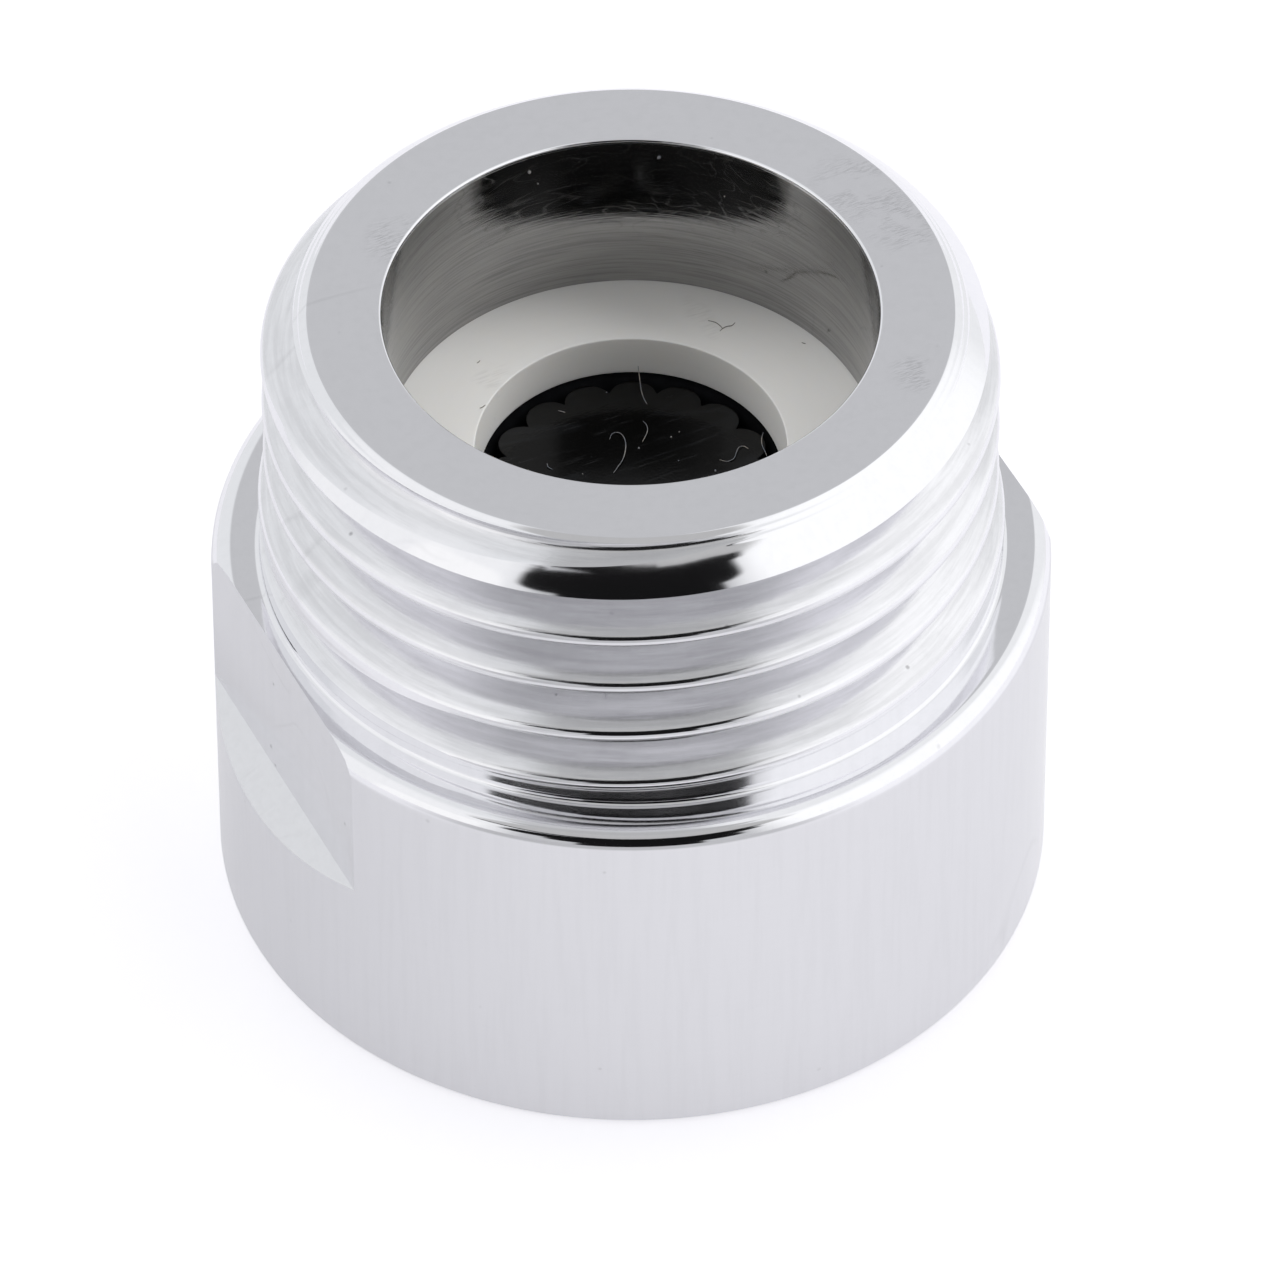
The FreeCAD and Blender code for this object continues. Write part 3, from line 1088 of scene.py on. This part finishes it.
def make_turning_marks():
    """Fine lines that run round the axis, on walls, cones and faces alike, without a seam."""
    inputs = {"Lines": 12000.0, "Length": 2.0, "Detail": 3.0}
    tree, given, result = new_group("turning_marks", inputs, "Height")
    place = own_place(tree)
    parts = add_node(tree, "SeparateXYZ", {0: place}).outputs
    flat = add_node(tree, "CombineXYZ", {0: parts["X"], 1: parts["Y"]}).outputs[0]
    radius = add_node(tree, "VectorMath", {0: flat}, operation="LENGTH").outputs["Value"]
    around = add_node(tree, "VectorMath", {0: flat}, operation="NORMALIZE").outputs[0]
    around = add_node(tree, "VectorMath", {0: around, "Scale": given["Length"]}, operation="SCALE")
    around = add_node(tree, "SeparateXYZ", {0: around.outputs[0]}).outputs
    across = calculate(tree, "MULTIPLY", radius, given["Lines"])
    spot = add_node(tree, "CombineXYZ", {0: around["X"], 1: around["Y"], 2: across}).outputs[0]
    climb = calculate(tree, "MULTIPLY", parts["Z"], given["Lines"])
    texture = add_node(
        tree, "TexNoise",
        {"Vector": spot, "W": climb, "Scale": 1.0, "Detail": given["Detail"], "Roughness": 0.6},
        noise_dimensions="4D",
    )
    tree.links.new(texture.outputs["Fac"], result)


def make_rubbed_patches():
    """Soft patches of fine crossing lines, as left where metal or plastic has been rubbed."""
    inputs = {"Patch Size": 0.003, "Line Width": 0.00008, "Share": 0.3}
    tree, given, result = new_group("rubbed_patches", inputs, "Mask")
    place = own_place(tree)
    patch_scale = calculate(tree, "DIVIDE", 1.0, given["Patch Size"])
    cloud = noise(tree, moved(tree, place, (0.013, 0.007, 0.021)), patch_scale, 2.0)
    edge = calculate(tree, "SUBTRACT", 0.78, calculate(tree, "MULTIPLY", given["Share"], 0.5))
    past = calculate(tree, "SUBTRACT", cloud, edge)
    patch_mask = calculate(tree, "MULTIPLY", past, 12.0, clamp=True)
    line_scale = calculate(tree, "DIVIDE", 0.12, given["Line Width"])
    lines = []
    for turn in ((0.2, 0.5, 0.6), (0.9, -0.3, 2.1)):
        grain = moved(tree, place, turn=turn, scale=(1.0, 8.0, 8.0))
        lines.append(noise(tree, grain, line_scale, 2.0, 0.55))
    ridge = calculate(tree, "MINIMUM", lines[0], lines[1])
    ridge = calculate(tree, "MULTIPLY", calculate(tree, "SUBTRACT", 0.5, ridge), 7.0, clamp=True)
    tree.links.new(calculate(tree, "MULTIPLY", ridge, patch_mask), result)


def make_hair_scratches():
    """Long thin scratches that cross each other, each broken off after a while."""
    inputs = {"Spacing": 0.004, "Width": 0.012, "Share": 0.4}
    tree, given, result = new_group("hair_scratches", inputs, "Mask")
    place = own_place(tree)
    scale = calculate(tree, "DIVIDE", 1.0, given["Spacing"])
    masks = []
    for index, turn in enumerate(((0.3, 0.2, 0.4), (1.1, 0.4, 1.9), (0.5, 1.3, 2.8))):
        offset = (0.03 * index, 0.011, 0.005)
        line = noise(tree, moved(tree, place, offset, turn, (0.25, 1.0, 1.0)), scale, 1.0, 0.4, 0.3)
        away = calculate(tree, "ABSOLUTE", calculate(tree, "SUBTRACT", line, 0.5))
        away = calculate(tree, "DIVIDE", away, given["Width"])
        hair = calculate(tree, "SUBTRACT", 1.0, away, clamp=True)
        gate = noise(tree, moved(tree, place, offset, turn, (0.7, 1.0, 1.0)), scale, 1.0)
        edge = calculate(tree, "SUBTRACT", 0.75, calculate(tree, "MULTIPLY", given["Share"], 0.5))
        gate = calculate(tree, "SUBTRACT", gate, edge)
        gate = calculate(tree, "MULTIPLY", gate, 14.0, clamp=True)
        masks.append(calculate(tree, "MULTIPLY", hair, gate))
    both = calculate(tree, "MAXIMUM", masks[0], masks[1])
    tree.links.new(calculate(tree, "MAXIMUM", both, masks[2]), result)


def make_fine_specks():
    """Small specks, such as dust or pits, in scattered places and of uneven size."""
    inputs = {"Spacing": 0.0008, "Size": 0.00005, "Share": 0.3}
    tree, given, result = new_group("fine_specks", inputs, "Mask")
    place = own_place(tree)
    scale = calculate(tree, "DIVIDE", 1.0, given["Spacing"])
    cells = add_node(tree, "TexVoronoi", {"Vector": place, "Scale": scale, "Randomness": 1.0})
    chance = add_node(tree, "SeparateXYZ", {0: cells.outputs["Color"]}).outputs
    away = calculate(tree, "MULTIPLY", cells.outputs["Distance"], given["Spacing"])
    reach = calculate(tree, "MULTIPLY", given["Size"], calculate(tree, "ADD", chance["Y"], 0.4))
    inside = calculate(tree, "SUBTRACT", 1.5, calculate(tree, "DIVIDE", away, reach), clamp=True)
    chosen = calculate(tree, "LESS_THAN", chance["X"], given["Share"])
    tree.links.new(calculate(tree, "MULTIPLY", inside, chosen), result)


def attribute(tree, name):
    """The value of one of the layers that mesh_of_columns writes."""
    return add_node(tree, "Attribute", attribute_name=name).outputs["Fac"]


def finish_shader(tree, shader, base, polish, bumps=()):
    """Gives a shader its colour, its roughness and its bumps.

    Each bump is a height from 0 to 1 and its depth in metres.
    """
    tree.links.new(base, shader.inputs["Base Color"])
    tree.links.new(polish, shader.inputs["Roughness"])
    normal = None
    for height, depth in bumps:
        inputs = {"Height": height, "Distance": depth, "Strength": 1.0}
        if normal is not None:
            inputs["Normal"] = normal
        normal = add_node(tree, "Bump", inputs).outputs[0]
    if normal is not None:
        tree.links.new(normal, shader.inputs["Normal"])


def total(tree, *terms):
    """The sum of numbers and sockets."""
    result = terms[0]
    for term in terms[1:]:
        result = calculate(tree, "ADD", result, term)
    return result


def product(tree, *terms):
    """The product of numbers and sockets."""
    result = terms[0]
    for term in terms[1:]:
        result = calculate(tree, "MULTIPLY", result, term)
    return result


# Where the outlet's face is rubbed: x, y and reach, in mm.
RUBBED_SPOTS = ((8.1, 1.7, 1.9), (8.5, -0.3, 1.5), (6.3, -5.8, 1.2), (-4.7, 5.4, 1.3))


def near_spots(tree, place, spots):
    """A soft mask round each spot (x, y, reach), in mm."""
    masks = []
    for x, y, reach in spots:
        inputs = {0: place, 1: (x * MM, y * MM, 0.0)}
        flat = add_node(tree, "VectorMath", inputs, operation="SUBTRACT").outputs[0]
        inputs = {0: flat, 1: (1.0, 1.0, 0.0)}
        flat = add_node(tree, "VectorMath", inputs, operation="MULTIPLY").outputs[0]
        away = add_node(tree, "VectorMath", {0: flat}, operation="LENGTH").outputs["Value"]
        masks.append(stepped(tree, away, 0.2 * reach * MM, reach * MM, reach=(1.0, 0.0)))
    return total(tree, *masks)


def chrome_material():
    """Polished chrome, with turning marks in the grooves, milled flats and a dull inside."""
    finishes = bpy.context.scene.regulator_finishes
    body = bpy.context.scene.regulator_body
    material, tree, shader = new_material("satin_chrome", finishes.chrome, 0.05, 1.0)
    cut = attribute(tree, "cut")
    milled = attribute(tree, MILLED)
    bare = attribute(tree, BARE)
    place = own_place(tree)
    height = add_node(tree, "SeparateXYZ", {0: place}).outputs["Z"]
    fine = use_group(tree, "turning_marks", {"Lines": 16000.0, "Length": 2.5, "Detail": 3.0})
    broad = use_group(tree, "turning_marks", {"Lines": 4600.0, "Length": 3.0, "Detail": 4.0})
    mottle = noise(tree, moved(tree, place, (0.01, 0.02, 0.0)), 900.0, 4.0, 0.6)
    grain = noise(tree, moved(tree, place, scale=(1.0, 1.0, 0.35)), 9000.0, 2.0)
    inputs = {"Patch Size": 0.0012, "Line Width": 0.00004, "Share": 0.75}
    rubbed = use_group(tree, "rubbed_patches", inputs)
    scratches = use_group(tree, "hair_scratches", {"Spacing": 0.006, "Width": 0.006, "Share": 0.3})
    pits = use_group(tree, "fine_specks", {"Spacing": 0.001, "Size": 0.00005, "Share": 0.3})
    hairs = use_group(tree, "hair_scratches", {"Spacing": 0.0009, "Width": 0.014, "Share": 0.7})
    upright = moved(tree, place, (0.0, 0.004, 0.0), scale=(1.0, 1.0, 0.06))
    upright = noise(tree, upright, 3600.0, 3.0, 0.6)
    top = add_node(tree, "NewGeometry").outputs["Normal"]
    top = add_node(tree, "SeparateXYZ", {0: top}).outputs["Z"]
    top = stepped(tree, top, 0.96, 0.995)
    top = product(tree, top, stepped(tree, height, body.top - 0.3 * MM, body.top - 0.1 * MM))
    worn = product(tree, top, near_spots(tree, place, RUBBED_SPOTS), rubbed)
    outer = rest(tree, bare)
    turned = product(tree, cut, outer)
    # Painted shade: each milled flat turns darker towards its lower edge, near the crease with the
    # ledge.
    crease = stepped(tree, height, body.flat_bottom, body.flat_bottom + 3.0 * MM, reach=(1.0, 0.0))
    crease = product(tree, crease, milled)

    streak = stepped(tree, broad, 0.35, 0.68)
    valley = rest(tree, streak)
    wear_and_crease_shade = finishes.wear_and_crease_shade
    polish = total(
        tree, 0.05, product(tree, turned, 0.09), product(tree, milled, 0.15),
        product(tree, bare, valley, 0.05), product(tree, bare, hairs, 0.1),
        product(tree, mottle, 0.04), product(tree, top, 0.06), product(tree, worn, 0.1),
    )

    # The colour darkens with machining marks, scratches, pits and rubbing, and with painted shade
    # near the flats' crease.
    dark = total(
        tree,
        product(tree, turned, valley, 0.28 * wear_and_crease_shade),
        product(tree, turned, mottle, 0.1 * wear_and_crease_shade),
        product(tree, bare, valley, 0.3 * wear_and_crease_shade),
        product(tree, bare, stepped(tree, fine, 0.42, 0.66), 0.5 * wear_and_crease_shade),
        product(tree, stepped(tree, upright, 0.4, 0.7), outer, 0.04 * wear_and_crease_shade),
        product(tree, worn, 0.5 * wear_and_crease_shade),
        product(tree, rest(tree, fine), outer, 0.035 * wear_and_crease_shade),
        product(tree, mottle, top, 0.06 * wear_and_crease_shade),
        product(tree, scratches, 0.14 * wear_and_crease_shade),
        product(tree, milled, grain, 0.08 * wear_and_crease_shade),
        product(tree, crease, 0.16 * wear_and_crease_shade),
        product(tree, pits, total(tree, 0.4, cut, milled), 0.6 * wear_and_crease_shade),
    )
    base = mixed(tree, bare, tuple(finishes.chrome), tuple(finishes.bare))
    base = mixed(tree, calculate(tree, "MINIMUM", dark, 0.85), base, (0.08, 0.08, 0.085))

    finish_shader(tree, shader, base, polish, [
        (product(tree, fine, total(tree, 0.1, cut, product(tree, top, 0.12))), 0.0000012),
        (product(tree, broad, total(tree, 0.06, product(tree, cut, 0.9))), 0.0000035),
        (product(tree, mottle, outer), 0.0000006),
        (product(tree, grain, milled), 0.0000008),
    ])
    return material


def lint_material():
    """Pale bluish lint that lets some light through."""
    finishes = bpy.context.scene.regulator_finishes
    material, tree, shader = new_material("lint", finishes.lint, 0.6)
    place = own_place(tree)
    tone = noise(tree, place, 2500.0, 2.0)
    base = mixed(tree, stepped(tree, tone, 0.35, 0.7), tuple(finishes.lint), (0.42, 0.38, 0.33))
    finish_shader(tree, shader, base, total(tree, 0.45, product(tree, tone, 0.3)))
    return material


def fleck_material():
    """Dark dirt on the white housing."""
    finishes = bpy.context.scene.regulator_finishes
    material, tree, shader = new_material("dark_dirt", finishes.grime, 0.8)
    place = own_place(tree)
    tone = noise(tree, place, 4000.0, 3.0)
    base = mixed(tree, tone, (0.11, 0.1, 0.09), tuple(finishes.grime))
    finish_shader(tree, shader, base, total(tree, 0.6, product(tree, tone, 0.3)))
    return material


def white_material():
    """White moulded plastic that lets a little light through, with faint scuffs and specks."""
    finishes = bpy.context.scene.regulator_finishes
    material, tree, shader = new_material("white_moulding", finishes.white, 0.35)
    shader.inputs["Subsurface Weight"].default_value = 0.25
    shader.inputs["Subsurface Radius"].default_value = (1.0, 0.9, 0.75)
    shader.inputs["Subsurface Scale"].default_value = 0.0008
    place = own_place(tree)
    cloud = noise(tree, place, 260.0, 3.0)
    flow = use_group(tree, "turning_marks", {"Lines": 5000.0, "Length": 3.0, "Detail": 2.0})
    inputs = {"Patch Size": 0.0022, "Line Width": 0.00009, "Share": 0.3}
    rubbed = use_group(tree, "rubbed_patches", inputs)
    specks = use_group(tree, "fine_specks", {"Spacing": 0.0013, "Size": 0.000035, "Share": 0.3})
    dark = total(
        tree, product(tree, cloud, 0.05), product(tree, rubbed, 0.22 * finishes.wear_and_crease_shade),
        product(tree, specks, 0.9 * finishes.dust), product(tree, flow, 0.03),
    )
    base = mixed(tree, dark, tuple(finishes.white), tuple(finishes.grime))
    polish = total(tree, 0.3, product(tree, cloud, 0.12), product(tree, rubbed, 0.2))
    finish_shader(tree, shader, base, polish, [(flow, 0.0000008), (cloud, 0.000006)])
    return material


def black_material():
    """Black moulded plastic with fine handling scratches and a haze of dust."""
    finishes = bpy.context.scene.regulator_finishes
    material, tree, shader = new_material("black_moulding", finishes.black, 0.3)
    shader.inputs["Specular IOR Level"].default_value = 0.3
    place = own_place(tree)
    cloud = noise(tree, place, 500.0, 3.0)
    grain = noise(tree, place, 14000.0, 1.0)
    streaks = moved(tree, place, turn=(0.0, 0.0, 0.9), scale=(1.0, 9.0, 1.0))
    streaks = stepped(tree, noise(tree, streaks, 900.0, 3.0, 0.6), 0.56, 0.72)
    scratches = use_group(tree, "hair_scratches", {"Spacing": 0.0024, "Width": 0.012, "Share": 0.5})
    specks = use_group(tree, "fine_specks", {"Spacing": 0.0006, "Size": 0.00003, "Share": 0.25})
    haze = total(
        tree, product(tree, specks, 0.3 * finishes.dust),
        product(tree, scratches, 0.07 * finishes.wear_and_crease_shade),
        product(tree, streaks, 0.03 * finishes.wear_and_crease_shade), product(tree, cloud, 0.003),
    )
    base = mixed(tree, haze, tuple(finishes.black), tuple(finishes.lint))
    polish = total(tree, 0.1, product(tree, cloud, 0.12), product(tree, streaks, 0.12))
    finish_shader(tree, shader, base, polish, [(grain, 0.0000015), (streaks, 0.000001)])
    return material


def pale_material():
    """Pale moulded plastic with a fine grain, for the filter at the inlet."""
    finishes = bpy.context.scene.regulator_finishes
    material, tree, shader = new_material("pale_moulding", finishes.pale, 0.45)
    place = own_place(tree)
    cloud = noise(tree, place, 420.0, 3.0)
    grain = noise(tree, place, 12000.0, 1.0)
    flow = use_group(tree, "turning_marks", {"Lines": 4000.0, "Length": 2.0, "Detail": 2.0})
    specks = use_group(tree, "fine_specks", {"Spacing": 0.0012, "Size": 0.00004, "Share": 0.25})
    dark = total(
        tree, product(tree, cloud, 0.08), product(tree, flow, 0.04),
        product(tree, specks, 0.6 * finishes.dust),
    )
    base = mixed(tree, dark, tuple(finishes.pale), tuple(finishes.grime))
    polish = total(tree, 0.38, product(tree, cloud, 0.15))
    finish_shader(tree, shader, base, polish, [(grain, 0.000002), (flow, 0.000001)])
    return material


def rubber_material():
    """Dull black rubber with a fine grain, a grey bloom and a little dust."""
    finishes = bpy.context.scene.regulator_finishes
    material, tree, shader = new_material("ring_rubber", finishes.rubber, 0.6)
    shader.inputs["Specular IOR Level"].default_value = 0.03
    place = own_place(tree)
    bloom = noise(tree, place, 340.0, 4.0, 0.6)
    grain = noise(tree, place, 8000.0, 3.0, 0.6)
    inputs = {"Patch Size": 0.003, "Line Width": 0.0001, "Share": 0.35}
    rubbed = use_group(tree, "rubbed_patches", inputs)
    specks = use_group(tree, "fine_specks", {"Spacing": 0.0009, "Size": 0.00004, "Share": 0.3})
    pale = total(
        tree, product(tree, stepped(tree, bloom, 0.45, 0.75), 0.05),
        product(tree, rubbed, 0.08 * finishes.wear_and_crease_shade), product(tree, specks, 0.4 * finishes.dust),
    )
    base = mixed(tree, pale, tuple(finishes.rubber), tuple(finishes.lint))
    polish = total(tree, 0.5, product(tree, bloom, 0.2), product(tree, grain, 0.1))
    finish_shader(tree, shader, base, polish, [(grain, 0.000008), (bloom, 0.00002)])
    return material


class RegulatorAddStage(bpy.types.Operator):
    """Make the floor, the soft room with its light panels and the camera"""

    bl_idname = "regulator.add_stage"
    bl_label = "Stage"

    def execute(self, context):
        studio = context.scene.regulator_studio
        make_floor(studio)
        make_room(studio)
        make_lamps(studio)
        make_camera(studio)
        return {"FINISHED"}


def seen_rays(tree):
    """1 for rays from the camera, and for rays that mirror or pass on what they meet."""
    path = add_node(tree, "LightPath").outputs
    mirror = calculate(tree, "MAXIMUM", path["Is Glossy Ray"], path["Is Transmission Ray"])
    return path["Is Camera Ray"], mirror


def turned_parts(tree, vector, azimuth):
    """The parts of a vector in the camera's own directions: to the right, toward it, and up."""
    inputs = {"Vector": vector, "Angle": -azimuth}
    turned = add_node(tree, "VectorRotate", inputs, rotation_type="Z_AXIS")
    parts = add_node(tree, "SeparateXYZ", {0: turned.outputs[0]})
    toward = calculate(tree, "MULTIPLY", parts.outputs["Y"], -1.0)
    return parts.outputs["X"], toward, parts.outputs["Z"]


# How the floor's glow changes in a reflection, as painted light and shade: brighter aside from the
# camera's direction (angles) and with the distance from the part, darker in front of it, and how
# much brighter it is on the right.
ASIDE = (math.radians(28), math.radians(58))
FAR = (0.022, 0.035)
IN_FRONT = (0.03, 0.05)
GLOW_TILT = 0.06


def make_floor(studio):
    """A plain pale table. It glows a little where it is seen, so that it reaches white.
    In a reflection it glows with painted light and shade: brighter away from the part and on
    the right, darker in front of it.

    From below it is clear, so that the part's underside can be looked at.
    """
    mesh = bpy.data.meshes.new("floor")
    bm = bmesh.new()
    bmesh.ops.create_circle(bm, cap_ends=True, segments=96, radius=studio.floor_radius)
    bm.to_mesh(mesh)
    bm.free()
    floor = new_object("floor", mesh)
    material, tree, shader = new_material("floor_paint", studio.floor, 0.9)
    shader.inputs["Specular IOR Level"].default_value = 0.0
    place = add_node(tree, "NewGeometry").outputs["Position"]
    right, toward = turned_parts(tree, place, studio.azimuth)[:2]
    distance = add_node(tree, "VectorMath", {0: place}, operation="LENGTH").outputs["Value"]
    around = calculate(tree, "ABSOLUTE", calculate(tree, "ARCTAN2", right, toward))
    # Painted light and shade in a reflection: more glow far off aside from the camera, less in
    # front.
    aside = stepped(tree, around, *ASIDE)
    far = stepped(tree, distance, *FAR, reach=(0.0, studio.far_glow))
    front = stepped(tree, distance, *IN_FRONT, reach=(0.0, -studio.mirror_glow))
    bend = calculate(tree, "MULTIPLY", far, aside)
    dim = calculate(tree, "MULTIPLY", front, rest(tree, aside))
    tilt = calculate(tree, "MULTIPLY", calculate(tree, "DIVIDE", right, distance), GLOW_TILT)
    level = calculate(tree, "ADD", calculate(tree, "ADD", bend, dim), studio.mirror_glow)
    level = calculate(tree, "ADD", level, tilt)
    seen, mirror = seen_rays(tree)
    glow = calculate(tree, "MULTIPLY", seen, studio.white_glow)
    mirrored = calculate(tree, "MULTIPLY", mirror, level)
    shader.inputs["Emission Color"].default_value = (*studio.floor_glow, 1.0)
    tree.links.new(calculate(tree, "ADD", glow, mirrored), shader.inputs["Emission Strength"])
    below = add_node(tree, "NewGeometry").outputs["Backfacing"]
    clear = add_node(tree, "BsdfTransparent")
    mix = add_node(tree, "MixShader", {0: below, 1: shader.outputs[0], 2: clear.outputs[0]})
    tree.links.new(mix.outputs[0], tree.nodes["Material Output"].inputs["Surface"])
    mesh.materials.append(material)
    floor.location.z = -0.01 * MM


def patch(tree, direction, azimuth, half_width, elevation, half_height, climb, softness):
    """A mask of a soft-edged rectangle with round corners on the room's dome."""
    around, above = direction
    above = calculate(tree, "SUBTRACT", above, calculate(tree, "MULTIPLY", around, climb))
    aside = calculate(tree, "DIVIDE", calculate(tree, "SUBTRACT", around, azimuth), half_width)
    over = calculate(tree, "DIVIDE", calculate(tree, "SUBTRACT", above, elevation), half_height)
    aside = calculate(tree, "POWER", calculate(tree, "ABSOLUTE", aside), 5.0)
    over = calculate(tree, "POWER", calculate(tree, "ABSOLUTE", over), 5.0)
    away = calculate(tree, "ADD", aside, over)
    return stepped(tree, away, (1 - softness) ** 5, (1 + softness) ** 5, reach=(1.0, 0.0))


def make_room(studio):
    """White for the camera, and for everything else a soft grey room with light panels."""
    world = bpy.data.worlds.new("soft_room")
    bpy.context.scene.world = world
    world.use_nodes = True
    tree = world.node_tree
    way = add_node(tree, "TexCoord").outputs["Generated"]
    right, toward, up = turned_parts(tree, way, studio.azimuth)
    around = calculate(tree, "DEGREES", calculate(tree, "ARCTAN2", right, toward))
    above = calculate(tree, "DEGREES", calculate(tree, "ARCSINE", up))
    light = tuple(studio.room)
    for _, azimuth, half_width, elevation, half_height, climb, softness, level, tint in PANELS:
        shape = (azimuth, half_width, elevation, half_height, climb, softness)
        mask = patch(tree, (around, above), *shape)
        light = mixed(tree, mask, light, tuple(level * part for part in tint))
    background = tree.nodes["Background"]
    tree.links.new(light, background.inputs["Color"])
    white = add_node(tree, "Background", {"Color": (1.0, 1.0, 1.0, 1.0)})
    seen = add_node(tree, "LightPath").outputs["Is Camera Ray"]
    mix = add_node(tree, "MixShader", {0: seen, 1: background.outputs[0], 2: white.outputs[0]})
    tree.links.new(mix.outputs[0], tree.nodes["World Output"].inputs["Surface"])


# The lamps and their azimuth in degrees from the camera's side, with plus to the right.
LAMPS = (("left_lamp", -115), ("right_lamp", 105))


def make_lamps(studio):
    """Two soft lamps beside the part that reach down to the insert alone."""
    insert = bpy.data.collections.new("insert")
    for name in ("housing_moulded", "core_fluted", "lint_fibres", "dark_flecks"):
        insert.objects.link(bpy.data.objects[name])
    for name, azimuth in LAMPS:
        lamp = bpy.data.lights.new(name, "AREA")
        lamp.shape = "DISK"
        lamp.size = studio.lamp_size
        lamp.energy = getattr(studio, name)
        holder = new_object(name, lamp)
        holder.visible_glossy = False
        holder.visible_camera = False
        holder.light_linking.receiver_collection = insert
        turn = Matrix.Rotation(studio.azimuth + math.radians(azimuth), 4, "Z")
        tilt = Matrix.Rotation(math.pi / 2 - studio.lamp_height, 4, "X")
        holder.matrix_world = turn @ tilt @ Matrix.Translation((0, 0, studio.lamp_distance))


def make_camera(studio):
    camera = bpy.data.cameras.new("camera")
    camera.lens = studio.lens
    camera.sensor_width = 36.0
    camera.clip_start = 0.01
    holder = new_object("camera", camera)
    bpy.context.scene.camera = holder
    sideways = Matrix.Rotation(studio.azimuth, 4, "Z")
    tilt = Matrix.Rotation(math.pi / 2 - studio.elevation, 4, "X")
    roll = Matrix.Rotation(-studio.roll, 4, "Z")
    aim = sideways @ Vector((studio.aim_right, 0, studio.aim_height))
    back = (sideways @ tilt) @ Vector((0, 0, studio.distance))
    holder.matrix_world = Matrix.Translation(aim + back) @ sideways @ tilt @ roll


class RegulatorPanel(bpy.types.Panel):
    """The pieces of the shower flow regulator"""

    bl_idname = "VIEW3D_PT_regulator"
    bl_label = "Shower flow regulator"
    bl_space_type = "VIEW_3D"
    bl_region_type = "UI"
    bl_category = "Regulator"

    def draw(self, context):
        for operator in OPERATORS:
            self.layout.operator(operator.bl_idname)


GROUPS = {
    "regulator_body": RegulatorBodySizes,
    "regulator_insert": RegulatorInsertSizes,
    "regulator_finishes": RegulatorFinishes,
    "regulator_studio": RegulatorStudio,
}
OPERATORS = (
    RegulatorAddBody,
    RegulatorAddHousing,
    RegulatorAddCore,
    RegulatorAddSoftRings,
    RegulatorFinishFilter,
    RegulatorAddLint,
    RegulatorAddStage,
)


def register():
    for group in GROUPS.values():
        bpy.utils.register_class(group)
    for name, group in GROUPS.items():
        setattr(bpy.types.Scene, name, PointerProperty(type=group))
    for operator in OPERATORS:
        bpy.utils.register_class(operator)
    bpy.utils.register_class(RegulatorPanel)


def unregister():
    bpy.utils.unregister_class(RegulatorPanel)
    for operator in reversed(OPERATORS):
        bpy.utils.unregister_class(operator)
    for name in GROUPS:
        delattr(bpy.types.Scene, name)
    for group in GROUPS.values():
        bpy.utils.unregister_class(group)


def main():
    register()
    bpy.context.scene.view_settings.view_transform = "Standard"
    make_turning_marks()
    make_rubbed_patches()
    make_hair_scratches()
    make_fine_specks()
    bpy.ops.regulator.add_body()
    bpy.ops.regulator.add_housing()
    bpy.ops.regulator.add_core()
    bpy.ops.regulator.add_soft_rings()
    bpy.ops.regulator.finish_filter()
    bpy.ops.regulator.add_lint()
    bpy.ops.regulator.add_stage()


if __name__ == "__main__":
    main()
